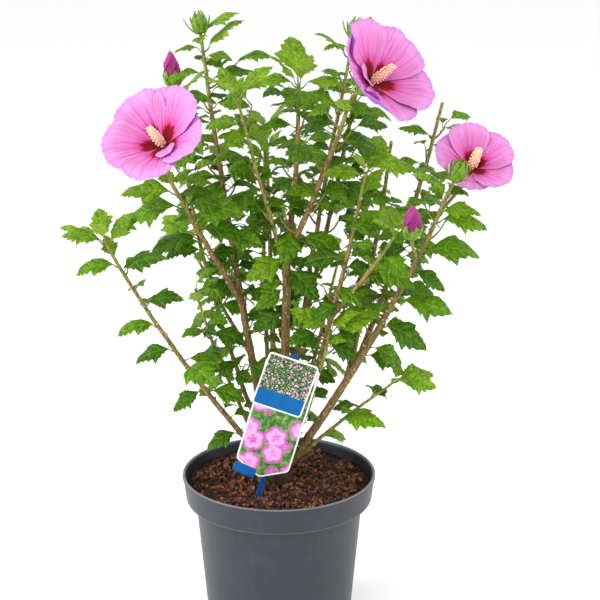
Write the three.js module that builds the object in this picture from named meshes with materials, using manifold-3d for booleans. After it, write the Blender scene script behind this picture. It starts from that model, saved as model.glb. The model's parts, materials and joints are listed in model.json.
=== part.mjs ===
// A hibiscus shrub, grown in a plastic nursery pot: a short woody stool on the soil, stems that rise from it and
// fork, a mass of leaves along each stem, three open blooms, five buds and a push-in plant label.
// Units are millimetres, +Z is up, and the origin is the centre of the pot's flat underside.
import * as THREE from "three";
import { mergeVertices } from "three/addons/utils/BufferGeometryUtils.js";
import Module from "manifold-3d";

const wasm = await Module();
wasm.setup();
const { Manifold } = wasm;

// ---------------------------------------------------------------------------------------------- driving sizes
const GAP = 0.3; // left between solids that touch in the real plant
const SLIVER = 0.08; // joined solids lose edges that stand out less than this
const POT = { height: 165, rim: 95, collar: 27, shoulder: 82.5, foot: 70, wall: 2.2, lip: 3.6, sides: 32 };
const DRAIN = { count: 6, ring: 50, radius: 5 };
const SOIL = { height: 155, edge: 152.5, bumps: 1.4, flat: 24 };
const STOOL = { height: 24, flare: 18, waist: 12.5 };
const FOOT_RING = 7; // how far from the axis the stems' hearts start
const FOOT_HEIGHT = 13; // above the soil
const LEAF = { length: 41, width: 0.86, widest: 0.4, thickness: 0.03, petiole: 0.32, petioleRadius: 0.8 };
// The leaves that close round the tip of a stem, by what it ends in: from is where along the stem they start, and
// turned is how far the first one is turned from the stem's lean.
const TUFT = {
  tuft: { leaves: 4, from: 0.98, turned: 0 },
  bud: { leaves: 2, from: 0.955, turned: 180 },
  petal_bud: { leaves: 2, from: 0.955, turned: 180 },
};
const NODE_GAP = 14; // along a stem, from leaf to leaf
const TRIES = 4; // places round its stem where a leaf that would touch something may go instead
const SIDESTEP = 31; // degrees from one of those places to the next
const GOLDEN_TURN = 137.5;
const BOUGH_SIDES = 7;
const TWIG_SIDES = 5;
const COLOURS = {
  pot: 0x4a4d52, soil: 0x4b2a1c, bark: 0x8a6a45, leaf: 0x3f7f22, petal: 0xe583dc, white: 0xf3f3ee, blue: 0x1d6fb8,
};

// Each stem: lean is the compass turn of its tip from +X in degrees, reach the tip's distance from the pot's axis,
// height the tip's height above the soil, bow how far its middle bulges outwards, girth its radius at the foot and
// at the tip, bare the share of it that carries no leaves, and end what it ends in. A fork names its parent and the
// share of the parent where it leaves it.
const STEMS = [
  { name: "far_left", lean: 201, reach: 168, height: 261, bow: 9, girth: [3.0, 1.4], bare: 0.14, end: "tuft" },
  { name: "left", lean: 151, reach: 83, height: 436, bow: 4, girth: [4.3, 1.5], bare: 0.44, end: "bud" },
  { name: "left_bloom", from: "left", share: 0.39, lean: 212, reach: 114, height: 320, bow: 2, girth: [3.0, 1.7],
    bare: 0.26, end: "bloom" },
  { name: "thin_left", lean: 139, reach: 136, height: 378, bow: 22, girth: [2.5, 1.4], bare: 0.3, end: "petal_bud" },
  { name: "centre", lean: 307, reach: 14, height: 236, bow: 0, girth: [4.6, 3.8], bare: 1 },
  { name: "centre_top", from: "centre", share: 1, lean: 27, reach: 22, height: 392, bow: 3, girth: [3.1, 1.6],
    bare: 0.24, end: "tuft" },
  { name: "upper_bloom", from: "centre", share: 0.97, lean: 322, reach: 84, height: 388, bow: 2, girth: [3.0, 1.7],
    bare: 0.24, end: "bloom" },
  { name: "centre_left", from: "centre", share: 0.93, lean: 233, reach: 60, height: 390, bow: 2, girth: [2.2, 1.2],
    bare: 0.2, end: "tuft" },
  { name: "centre_right", lean: 328, reach: 95, height: 322, bow: 5, girth: [3.6, 1.4], bare: 0.6, end: "tuft" },
  { name: "inner_right", from: "centre_right", share: 0.54, lean: 318, reach: 141, height: 274, bow: 2,
    girth: [2.3, 1.3], bare: 0.16, end: "tuft" },
  { name: "right", lean: 338, reach: 172, height: 319, bow: 10, girth: [4.4, 1.6], bare: 0.4, end: "bud" },
  { name: "right_back", from: "right", share: 0.33, lean: 36, reach: 136, height: 324, bow: 4, girth: [3.0, 1.6],
    bare: 0.22, end: "cut" },
  { name: "right_tall", from: "right", share: 0.37, lean: 22, reach: 170, height: 365, bow: 6, girth: [2.8, 1.6],
    bare: 0.25, end: "cut" },
  { name: "low_right", lean: 345, reach: 114, height: 114, bow: -4, girth: [2.2, 1.2], bare: 0.24, end: "tuft" },
  { name: "back_bud", lean: 43, reach: 98, height: 427, bow: -8, girth: [3.2, 1.4], bare: 0.36, end: "bud" },
  { name: "back_cut", from: "back_bud", share: 0.3, lean: 51, reach: 142, height: 441, bow: 5, girth: [2.4, 1.6],
    bare: 0.22, end: "cut" },
  { name: "back", lean: 96, reach: 128, height: 330, bow: 10, girth: [3.4, 1.4], bare: 0.27, end: "tuft" },
  { name: "back_left", from: "back", share: 0.2, lean: 128, reach: 150, height: 214, bow: 8, girth: [2.4, 1.3],
    bare: 0.2, end: "tuft" },
  { name: "back_middle", lean: 112, reach: 34, height: 330, bow: 14, girth: [2.6, 1.3], bare: 0.24, end: "tuft" },
  { name: "low_left", lean: 176, reach: 80, height: 196, bow: 6, girth: [2.2, 1.2], bare: 0.22, end: "tuft" },
  { name: "low_front", lean: 318, reach: 66, height: 170, bow: 4, girth: [2.2, 1.2], bare: 0.24, end: "tuft" },
  { name: "back_right", lean: 66, reach: 152, height: 196, bow: 10, girth: [2.6, 1.3], bare: 0.25, end: "tuft" },
];

// Each bloom: the share of its stem where its stalk leaves, where its throat is, given as a stem's tip is, which way
// it faces (compass turn and elevation), and its radius.
const BLOOMS = [
  { name: "left", stem: "left_bloom", at: 1, lean: 217, reach: 125, height: 351, faces: [244, 41], radius: 48,
    spin: 20 },
  { name: "upper", stem: "upper_bloom", at: 1, lean: 320, reach: 108, height: 406, faces: [317, 35], radius: 50,
    spin: 50 },
  { name: "right", stem: "right", at: 0.86, lean: 354, reach: 179, height: 318, faces: [284, 47], radius: 38,
    spin: 5 },
];
const PETAL = { count: 5, cup: 0.58, width: 1.1, thickness: 0.9, overlap: 0.06 };
const COLUMN = { length: 34, radius: 4.2 };
const CALYX = { length: 18, radius: 8 };
// Buds on stalks of their own, besides those that end a stem.
const SIDE_BUDS = [{ stem: "right", at: 0.7, lean: 318, reach: 160, height: 278, kind: "petal_bud" }];
const BUD = {
  bud: { length: 21, radius: 7.2, bracts: 6, bractLength: 17 },
  petal_bud: { length: 34, radius: 8.6, bracts: 5, bractLength: 13 },
};

// The label's pieces by their centre along and across the stake, their size and the turn that each has of its own.
const LABEL = {
  foot: [-19.8, -42.9], lean: 14, thickness: 0.9,
  stake: { width: 6, depth: 1.8, buried: 45, top: 151 },
  card: { x: -1.8, z: 88, width: 52.4, height: 106, point: 13, twist: 2.5 },
  front: { x: -2.4, z: 119.6, width: 49, height: 54, corner: 4, twist: 5.5 },
  tab: { x: -19.8, z: 27, width: 22.5, height: 9.5, corner: 3, twist: 12 },
};

// ---------------------------------------------------------------------------------------------- small helpers
const rad = THREE.MathUtils.degToRad;
const UP = new THREE.Vector3(0, 0, 1);
const group = new THREE.Group();
const materials = {};

function seeded(seed) {
  let state = seed >>> 0;
  return () => {
    state = (state + 0x6d2b79f5) >>> 0;
    let n = Math.imul(state ^ (state >>> 15), state | 1);
    n ^= n + Math.imul(n ^ (n >>> 7), n | 61);
    return ((n ^ (n >>> 14)) >>> 0) / 4294967296;
  };
}

function material(kind, roughness = 0.7) {
  materials[kind] ??= new THREE.MeshStandardMaterial({ color: COLOURS[kind], roughness, metalness: 0 });
  return materials[kind];
}

// A point given by its compass turn from +X, its distance from the pot's axis and its height above the soil.
function polar(lean, reach, height) {
  return new THREE.Vector3(reach * Math.cos(rad(lean)), reach * Math.sin(rad(lean)), SOIL.height + height);
}

function toward(turn, elevation) {
  const flat = Math.cos(rad(elevation));
  return new THREE.Vector3(flat * Math.cos(rad(turn)), flat * Math.sin(rad(turn)), Math.sin(rad(elevation)));
}

// A closed three.js geometry as a solid that can be cut and joined.
function solid(geometry) {
  const bare = geometry.clone();
  bare.deleteAttribute("normal");
  bare.deleteAttribute("uv");
  const merged = mergeVertices(bare, 1e-4);
  return new Manifold(
    new wasm.Mesh({
      numProp: 3,
      vertProperties: new Float32Array(merged.attributes.position.array),
      triVerts: new Uint32Array(merged.index.array),
    }),
  );
}

function largest(made) {
  return made.decompose().reduce((a, b) => (b.volume() > a.volume() ? b : a));
}

function addNode(name, made, kind) {
  const mesh = made.getMesh();
  const geometry = new THREE.BufferGeometry();
  geometry.setAttribute("position", new THREE.BufferAttribute(new Float32Array(mesh.vertProperties), 3));
  geometry.setIndex(new THREE.BufferAttribute(mesh.triVerts, 1));
  geometry.computeVertexNormals();
  const node = new THREE.Mesh(geometry, material(kind));
  node.name = name;
  group.add(node);
  return node;
}

// Moves every vertex of a geometry to place(x, y, z), which returns a Vector3.
function reshape(geometry, place) {
  const at = geometry.attributes.position;
  for (let i = 0; i < at.count; i++) at.setXYZ(i, ...place(at.getX(i), at.getY(i), at.getZ(i)).toArray());
  return geometry;
}

// The side and normal that go with a direction along a limb: side x along = normal, as x, y and z in three.js.
function frameOf(along, up = UP) {
  const side = new THREE.Vector3().crossVectors(along, up);
  if (side.lengthSq() < 1e-6) side.set(1, 0, 0);
  side.normalize();
  return { side, normal: new THREE.Vector3().crossVectors(side, along) };
}

// A round tapering limb along path(share), from share a to share b, with its ends cut square.
function limb(path, a, b, radiusAt, sides, step = 40) {
  const length = path(a).distanceTo(path(b));
  const steps = Math.max(1, Math.round(length / step));
  return solid(
    reshape(new THREE.CylinderGeometry(1, 1, 1, sides, steps), (x, y, z) => {
      const share = a + (b - a) * (y + 0.5);
      const along = path(share + 0.01).sub(path(share - 0.01)).normalize();
      const { side, normal } = frameOf(along);
      const radius = radiusAt(share);
      return path(share).addScaledVector(side, x * radius).addScaledVector(normal, z * radius);
    }),
  );
}

// ---------------------------------------------------------------------------------------------- pot and soil
function lathe(profile, sides) {
  const points = profile.map(([r, z]) => new THREE.Vector2(r, z));
  return new THREE.LatheGeometry(points, sides).rotateX(Math.PI / 2);
}

function makePot() {
  const { height, rim, collar, shoulder, foot, wall, lip } = POT;
  const seat = height - collar;
  const shell = solid(
    lathe(
      [
        [0, 0], [foot - 1, 0], [foot, 1.5], [shoulder, seat], [rim - 3.2, seat], [rim, height - 1], [rim - 1, height],
        [rim - lip, height], [rim - lip - 2.4, seat + 1], [shoulder - wall, seat - 4], [foot - wall, 2.6], [0, 2.6],
      ],
      POT.sides,
    ),
  );
  const hole = new THREE.CylinderGeometry(DRAIN.radius, DRAIN.radius, 12, 8).rotateX(Math.PI / 2);
  const holes = [];
  for (let i = 0; i < DRAIN.count; i++) {
    const spot = toward((360 / DRAIN.count) * (i + 0.5), 0).multiplyScalar(DRAIN.ring);
    holes.push(solid(hole.clone().translate(spot.x, spot.y, 0)));
  }
  return shell.subtract(Manifold.union(holes));
}

function makeSoil() {
  const { rim, shoulder, foot, wall, lip, height, collar } = POT;
  const seat = height - collar;
  const rough = seeded(7);
  const rings = [SOIL.flat, 46, 68];
  const body = lathe(
    [
      [0, 2.6 + GAP], [foot - wall - 2 * GAP, 2.6 + GAP], [shoulder - wall - 2 * GAP, seat - 4 + GAP],
      [rim - lip - 2.4 - 2 * GAP, seat + 1 + GAP], [rim - lip - 1.6 - 2 * GAP, SOIL.edge],
      ...rings.map((r) => [r, SOIL.height]).reverse(), [0, SOIL.height],
    ],
    POT.sides,
  );
  const seen = new Map(); // the same height on both sides of the lathe's seam
  return solid(
    reshape(body, (x, y, z) => {
      const r = Math.hypot(x, y);
      if (z < SOIL.height - 0.01 || r < SOIL.flat + 1) return new THREE.Vector3(x, y, z);
      const key = `${Math.round(10 * x)} ${Math.round(10 * y)}`;
      if (!seen.has(key)) seen.set(key, (rough() - 0.7) * SOIL.bumps - (r / rim) * 0.8);
      return new THREE.Vector3(x, y, z + seen.get(key));
    }),
  );
}

// The stool: the low woody foot that all stems rise from, with its root flare cut flat where it meets the soil.
function makeStool(swell = 0) {
  const { height, flare, waist } = STOOL;
  const wobble = (turn) => 1 + 0.07 * Math.sin(3 * turn + 0.6) + 0.05 * Math.sin(5 * turn);
  const foot = GAP - swell;
  const body = lathe(
    [
      [0, foot], [flare + swell, foot], [waist + 2.5 + swell, 6], [waist + swell, 13], [waist + swell, 19],
      [waist - 4 + swell, height + swell], [0, height + 2 + swell],
    ],
    14,
  ).translate(0, 0, SOIL.height);
  return solid(
    reshape(body, (x, y, z) => {
      const k = wobble(Math.atan2(y, x));
      return new THREE.Vector3(x * k, y * k, z);
    }),
  );
}

// ---------------------------------------------------------------------------------------------- stems
const stemNamed = (name) => STEMS.find((stem) => stem.name === name);

function footOf(stem) {
  if (stem.from) return pathOf(stemNamed(stem.from))(stem.share);
  return polar(stem.lean, FOOT_RING, FOOT_HEIGHT);
}

// The stem's heart as a function of the share of its length.
function pathOf(stem) {
  const foot = footOf(stem);
  const tip = polar(stem.lean, stem.reach, stem.height);
  const out = toward(stem.lean, 0);
  return (share) => foot.clone().lerp(tip, share).addScaledVector(out, 4 * stem.bow * share * (1 - share));
}

function lengthOf(stem) {
  return footOf(stem).distanceTo(polar(stem.lean, stem.reach, stem.height));
}

// Its direction at a share of its length.
function alongOf(path, share) {
  return path(share).sub(path(share - 0.04)).normalize();
}

function girthOf(stem, swell = 0) {
  const [thick, thin] = stem.girth;
  return (share) => thick + (thin - thick) * THREE.MathUtils.clamp(share, 0, 1) + swell;
}

// ---------------------------------------------------------------------------------------------- leaves
// One leaf as a bent three-sided cone: root, end of its stalk, widest place and tip.
function makeLeaf(leaf, swell = 0) {
  const stalkEnd = leaf.root.clone().add(toward(leaf.turn, leaf.rise).multiplyScalar(leaf.size * LEAF.petiole));
  const across = toward(leaf.turn + 90, leaf.roll);
  const middle = stalkEnd.clone().add(toward(leaf.turn, leaf.bend[0]).multiplyScalar(leaf.size * LEAF.widest));
  const outer = leaf.size * (1 - LEAF.widest) + swell;
  const tip = middle.clone().add(toward(leaf.turn, leaf.bend[1]).multiplyScalar(outer));
  const half = (leaf.size * LEAF.width) / 2 + swell;
  const rings = [
    { at: leaf.root, side: LEAF.petioleRadius + swell, up: LEAF.petioleRadius + swell, elevation: leaf.rise },
    { at: stalkEnd, side: LEAF.petioleRadius + swell, up: LEAF.petioleRadius * 0.8 + swell, elevation: leaf.rise },
    { at: middle, side: half, up: leaf.size * LEAF.thickness + swell, elevation: leaf.bend[0] },
    { at: tip, side: 0, up: 0, elevation: leaf.bend[1] },
  ];
  return solid(
    reshape(new THREE.ConeGeometry(1, 1, 3, 3), (x, y, z) => {
      const ring = rings[Math.round((y + 0.5) * 3)];
      const point = ring.at.clone();
      if (Math.hypot(x, z) < 1e-6) return point;
      const up = toward(leaf.turn, ring.elevation + 90);
      if (z > 0 && Math.abs(x) < 0.1) return point.addScaledVector(up, ring.up);
      // along x up points to the right, which is minus across
      return point.addScaledVector(across, -Math.sign(x) * ring.side).addScaledVector(up, -swell);
    }),
  );
}

// The leaves of one stem: they turn round it by the golden angle, hang more the lower they sit, and are smallest
// at the tip. A small leaf stands in the axil of some of them.
function leavesOf(stem, index) {
  const random = seeded(1000 + 77 * index);
  const path = pathOf(stem);
  const length = lengthOf(stem);
  const last = stem.end === "cut" ? 0.84 : 0.94;
  const first = stem.bare + 0.06;
  const count = Math.max(3, Math.round(((last - first) * length) / NODE_GAP));
  const leaves = [];
  for (let i = 0; i < count; i++) {
    const [r1, r2, r3, r4, r5, r6] = Array.from({ length: 6 }, random);
    const climb = (i + 0.5) / count;
    const share = first + (last - first) * climb;
    const turn = stem.lean + 60 + i * GOLDEN_TURN + (r1 - 0.5) * 40;
    const young = THREE.MathUtils.smoothstep(climb, 0.72, 1) * (stem.end === "cut" ? 0.4 : 1);
    const outward = 0.9 + 0.14 * Math.cos(rad(turn - stem.lean));
    const size = LEAF.length * outward * (0.82 + 0.3 * Math.sin(Math.PI * climb) - 0.22 * young) * (0.84 + 0.3 * r2);
    const bend = [14 + 48 * young + (r4 - 0.5) * 26, -48 + 74 * young + (r4 - 0.5) * 30];
    const leaf = { root: path(share), turn, size, rise: 38 + 22 * young, bend, roll: (r3 - 0.5) * 36 };
    leaves.push(leaf);
    if (r5 < 0.55) {
      const aside = (r6 < 0.5 ? -1 : 1) * (38 + 30 * r6);
      const root = path(share + 3 / length);
      leaves.push({ root, turn: turn + aside, size: size * (0.42 + 0.2 * r3), rise: 60, bend: [40, -12], roll: 0 });
    }
  }
  if (TUFT[stem.end]) {
    const { leaves: number, from, turned } = TUFT[stem.end];
    const steep = 0.72 * THREE.MathUtils.radToDeg(Math.asin(alongOf(path, 1).z));
    for (let i = 0; i < number; i++) {
      const size = LEAF.length * (1 - 0.14 * i) * (0.9 + 0.2 * random());
      const rise = steep + 7 * i;
      const root = path(from + 0.006 * i);
      const turn = stem.lean + turned + i * GOLDEN_TURN;
      leaves.push({ root, turn, size, rise, bend: [rise - 8, rise - 48], roll: 0 });
    }
  }
  return leaves;
}

// ---------------------------------------------------------------------------------------------- blooms and buds
function placed(geometry, at, faces) {
  const turn = new THREE.Quaternion().setFromUnitVectors(UP, faces);
  return solid(geometry.clone().applyQuaternion(turn).translate(at.x, at.y, at.z));
}

function stalk(from, start, to, end, radius, sides = 5) {
  const reach = from.distanceTo(to) / 2.6;
  const curve = new THREE.CubicBezierCurve3(
    from, from.clone().addScaledVector(start, reach), to.clone().addScaledVector(end, -reach), to,
  );
  return limb((share) => curve.getPoint(THREE.MathUtils.clamp(share, 0, 1)), 0, 1, () => radius, sides, 12);
}

function petal(bloom, index) {
  const turn = rad(bloom.spin + (360 / PETAL.count) * index);
  const skin = new THREE.BoxGeometry(1, 1, 1, 2, 3, 1);
  return reshape(skin, (x, y, z) => {
    const share = 0.06 + 0.94 * (y + 0.5);
    const spread = Math.sin(Math.min(1, share * 1.25 + 0.08) * Math.PI * 0.62) ** 1.1;
    const rounding = share > 0.55 ? 0.16 * (4 * x * x) * (share - 0.55) : 0;
    const r = bloom.radius * (share - rounding);
    const across = x * bloom.radius * PETAL.width * spread;
    const angle = turn - across / Math.max(r, 6);
    const rise = bloom.radius * PETAL.cup * (1 - (1 - share) ** 1.7);
    const lap = bloom.radius * PETAL.overlap * x * 2 * Math.min(1, share * 2);
    return new THREE.Vector3(r * Math.cos(angle), r * Math.sin(angle), rise + lap + z * PETAL.thickness);
  });
}

function makeBloom(bloom) {
  const faces = toward(...bloom.faces);
  const throat = polar(bloom.lean, bloom.reach, bloom.height);
  const stem = stemNamed(bloom.stem);
  const path = pathOf(stem);
  const start = path(bloom.at);
  const along = alongOf(path, bloom.at);
  const base = throat.clone().addScaledVector(faces, 6 - CALYX.length); // well up in the calyx
  const from = start.clone().addScaledVector(along, bloom.at === 1 ? GAP : 0);
  const parts = [];
  for (let i = 0; i < PETAL.count; i++) parts.push(placed(petal(bloom, i), throat, faces));
  const column = new THREE.CapsuleGeometry(COLUMN.radius, COLUMN.length - COLUMN.radius, 2, 6).rotateX(Math.PI / 2);
  parts.push(placed(column.translate(0, 0, COLUMN.length / 2 - 1), throat, faces));
  const cup = new THREE.CylinderGeometry(CALYX.radius, 2.4, CALYX.length, 8).rotateX(Math.PI / 2);
  parts.push(placed(cup.translate(0, 0, 2 - CALYX.length / 2), throat, faces));
  parts.push(stalk(from, along, base, faces, bloom.at === 1 ? stem.girth[1] : 1.4));
  return Manifold.union(parts);
}

// A bud: a pointed egg in a ring of thin green bracts.
function makeBud(kind, base, faces) {
  const { length, radius, bracts, bractLength } = BUD[kind];
  const egg = new THREE.SphereGeometry(radius, 7, 5).rotateX(Math.PI / 2);
  reshape(egg, (x, y, z) => {
    const up = (z / radius + 1) / 2;
    const narrow = 1 - 0.35 * up;
    return new THREE.Vector3(x * narrow, y * narrow, up * length - 1);
  });
  const parts = [placed(egg, base, faces)];
  for (let i = 0; i < bracts; i++) {
    const bract = new THREE.ConeGeometry(1.3, bractLength, 3).rotateX(Math.PI / 2).translate(0, 0, bractLength / 2);
    bract.rotateX(rad(-32)).translate(0, radius * 0.35, 0.5).rotateZ(rad((360 / bracts) * i));
    parts.push(placed(bract, base, faces));
  }
  return parts;
}

// ---------------------------------------------------------------------------------------------- plant label
// A card with its centre on the piece's own, lying with its back at y = back.
function plate(piece, outline, back) {
  const shape = new THREE.Shape(outline.map(([x, z]) => new THREE.Vector2(x, z)));
  return inLabelFrame(
    new THREE.ExtrudeGeometry(shape, { depth: LABEL.thickness, bevelEnabled: false })
      .rotateX(Math.PI / 2)
      .rotateY(rad(piece.twist))
      .translate(piece.x, back, piece.z),
  );
}

function roundedOutline({ width, height, corner }) {
  const points = [];
  for (let quarter = 0; quarter < 4; quarter++) {
    const right = quarter === 0 || quarter === 3 ? 1 : -1;
    const top = quarter < 2 ? 1 : -1;
    for (let k = 0; k <= 3; k++) {
      const turn = rad(90 * quarter + 30 * k);
      points.push([
        right * (width / 2 - corner) + corner * Math.cos(turn),
        top * (height / 2 - corner) + corner * Math.sin(turn),
      ]);
    }
  }
  return points;
}

function inLabelFrame(geometry) {
  const [x, y] = LABEL.foot;
  return solid(geometry.rotateY(rad(LABEL.lean)).translate(x, y, SOIL.height));
}

function makeLabel() {
  const { card, front, tab, stake, thickness } = LABEL;
  const rod = (clear) =>
    inLabelFrame(
      new THREE.BoxGeometry(stake.width + clear, stake.depth + clear, stake.top + stake.buried)
        .translate(0, 0, (stake.top - stake.buried) / 2),
    );
  const half = card.width / 2;
  const low = -card.height / 2;
  const cardOutline = [[0, low - card.point], [half, low], [half, -low], [-half, -low], [-half, low]];
  const cardBack = -stake.depth / 2 - GAP; // each layer lies in front of the one before it
  const frontBack = cardBack - thickness - GAP;
  return {
    stake: rod(0),
    slot: rod(2 * GAP),
    card: plate(card, cardOutline, cardBack),
    front: plate(front, roundedOutline(front), frontBack),
    tab: plate(tab, roundedOutline(tab), frontBack),
  };
}

// ---------------------------------------------------------------------------------------------- assembly
const nodes = new Map(); // each node's name to { kind, parts }, the closed pieces that it is joined from

function boxesMeet(a, b) {
  return [0, 1, 2].every((k) => a.min[k] < b.max[k] && b.min[k] < a.max[k]);
}

function touches(made, parts) {
  const box = made.boundingBox();
  return parts.some((part) => boxesMeet(box, part.boundingBox()) && made.intersect(part).volume() > 0);
}

const label = makeLabel();
nodes.set("pot", { kind: "pot", parts: [makePot()] });
nodes.set("soil", { kind: "soil", parts: [makeSoil().subtract(label.slot)] });
nodes.set("stool", { kind: "bark", parts: [makeStool()] });
nodes.set("label_stake", { kind: "blue", parts: [label.stake] });
nodes.set("label_card", { kind: "white", parts: [label.card] });
nodes.set("label_front", { kind: "white", parts: [label.front] });
nodes.set("label_tab", { kind: "blue", parts: [label.tab] });

// The bare limbs: each is cut clear of the stool and of every limb made before it, its parent among them.
const swollen = [makeStool(GAP)];
for (const stem of STEMS) {
  const path = pathOf(stem);
  const bough = limb(path, 0, stem.bare, girthOf(stem), BOUGH_SIDES).subtract(Manifold.union(swollen));
  nodes.set(`bough_${stem.name}`, { kind: "bark", parts: [largest(bough)] });
  swollen.push(limb(path, 0, stem.bare, girthOf(stem, GAP), BOUGH_SIDES));
}

for (const bloom of BLOOMS) {
  const stem = stemNamed(bloom.stem);
  const clear = limb(pathOf(stem), stem.bare, 1, girthOf(stem, GAP), TWIG_SIDES);
  const made = bloom.at < 1 ? makeBloom(bloom).subtract(clear) : makeBloom(bloom);
  nodes.set(`bloom_${bloom.name}`, { kind: "petal", parts: [largest(made)] });
}

// The leafy part of each stem: first all the twigs with their buds, then the leaves. A leaf that would touch
// anything but its own twig goes a sidestep further round the twig, and is left out if no place is free.
const leafy = STEMS.filter((stem) => stem.bare < 1);
for (const stem of leafy) {
  const path = pathOf(stem);
  const parts = [limb(path, stem.bare + GAP / lengthOf(stem), 1, girthOf(stem), TWIG_SIDES)];
  if (BUD[stem.end]) parts.push(...makeBud(stem.end, path(1), alongOf(path, 1)));
  for (const bud of SIDE_BUDS.filter((one) => one.stem === stem.name)) {
    const start = path(bud.at);
    const base = polar(bud.lean, bud.reach, bud.height);
    const faces = base.clone().sub(start).normalize().add(UP).normalize();
    parts.push(stalk(start, alongOf(path, bud.at), base, faces, 1.2), ...makeBud(bud.kind, base, faces));
  }
  nodes.set(`foliage_${stem.name}`, { kind: "leaf", parts });
}
leafy.forEach((stem, index) => {
  const { parts } = nodes.get(`foliage_${stem.name}`);
  const twig = parts[0];
  for (const leaf of leavesOf(stem, index)) {
    const others = [...nodes.values()].flatMap((node) => node.parts).filter((part) => part !== twig);
    for (let i = 0; i < TRIES; i++) {
      if (!touches(makeLeaf(leaf, 2 * GAP), others)) {
        parts.push(makeLeaf(leaf));
        break;
      }
      leaf.turn += SIDESTEP;
    }
  }
});

for (const [name, { kind, parts }] of nodes) {
  const made = parts.length > 1 ? largest(Manifold.union(parts)).asOriginal().simplify(SLIVER) : parts[0];
  addNode(name, made, kind);
}

export default group;
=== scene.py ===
"""A hibiscus shrub in its nursery pot: bark, leaves, blooms, soil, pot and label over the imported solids.

Sizes are in millimetres until a mesh is made; meshes are in metres, in the frame of the CAD model: +Z up, the
origin at the centre of the pot's flat underside, the label in front at -Y.
"""

import json
import math
from collections import defaultdict, namedtuple

import bmesh
import bpy
from mathutils import Euler, Matrix, Vector, noise

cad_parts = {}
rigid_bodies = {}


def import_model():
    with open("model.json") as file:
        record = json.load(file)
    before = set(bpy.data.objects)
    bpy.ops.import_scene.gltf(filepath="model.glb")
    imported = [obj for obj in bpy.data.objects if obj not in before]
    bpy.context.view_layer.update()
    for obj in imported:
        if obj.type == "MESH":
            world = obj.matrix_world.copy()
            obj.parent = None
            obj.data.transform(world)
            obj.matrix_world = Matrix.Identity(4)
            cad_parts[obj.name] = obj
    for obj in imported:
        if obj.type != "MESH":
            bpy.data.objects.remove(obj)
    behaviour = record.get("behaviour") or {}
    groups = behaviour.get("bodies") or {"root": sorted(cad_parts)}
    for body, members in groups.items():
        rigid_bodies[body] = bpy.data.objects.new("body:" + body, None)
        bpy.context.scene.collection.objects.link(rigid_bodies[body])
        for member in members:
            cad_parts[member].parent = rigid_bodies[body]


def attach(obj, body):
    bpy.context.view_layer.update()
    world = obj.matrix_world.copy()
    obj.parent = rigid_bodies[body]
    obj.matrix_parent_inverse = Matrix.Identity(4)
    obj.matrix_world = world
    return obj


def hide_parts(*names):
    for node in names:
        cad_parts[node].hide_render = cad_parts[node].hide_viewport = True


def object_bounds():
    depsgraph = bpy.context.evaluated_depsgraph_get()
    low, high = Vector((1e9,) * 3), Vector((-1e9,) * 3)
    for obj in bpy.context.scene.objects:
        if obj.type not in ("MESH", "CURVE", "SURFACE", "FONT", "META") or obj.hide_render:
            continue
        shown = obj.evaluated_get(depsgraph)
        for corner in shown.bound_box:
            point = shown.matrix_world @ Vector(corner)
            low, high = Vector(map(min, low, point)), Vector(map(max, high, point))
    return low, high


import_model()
cad_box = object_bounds()

MM = 0.001
UP = Vector((0, 0, 1))
noise.seed_set(7)  # without a seed of its own, noise_vector starts from the clock

# ---- driving sizes, as in CAD
POT = {"height": 165, "rim": 95, "collar": 27, "shoulder": 82.5, "foot": 70, "wall": 2.2, "lip": 3.6}
SEAT = POT["height"] - POT["collar"]  # the height of the collar's lower edge
BORE = POT["rim"] - POT["lip"] - 2.4  # the collar's inner radius
DRAIN = {"count": 6, "ring": 50, "radius": 5}
SOIL_TOP = 155
STOOL = {"height": 24, "flare": 18, "waist": 12.5}
FOOT_RING = 7  # how far from the axis the stems' hearts start
FOOT_HEIGHT = 13  # above the soil
LEAF = {"length": 41, "petiole": 0.22}  # the petiole is a share of the length
NODE_GAP = 14  # along a stem, from leaf to leaf
GOLDEN_TURN = 137.5

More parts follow.
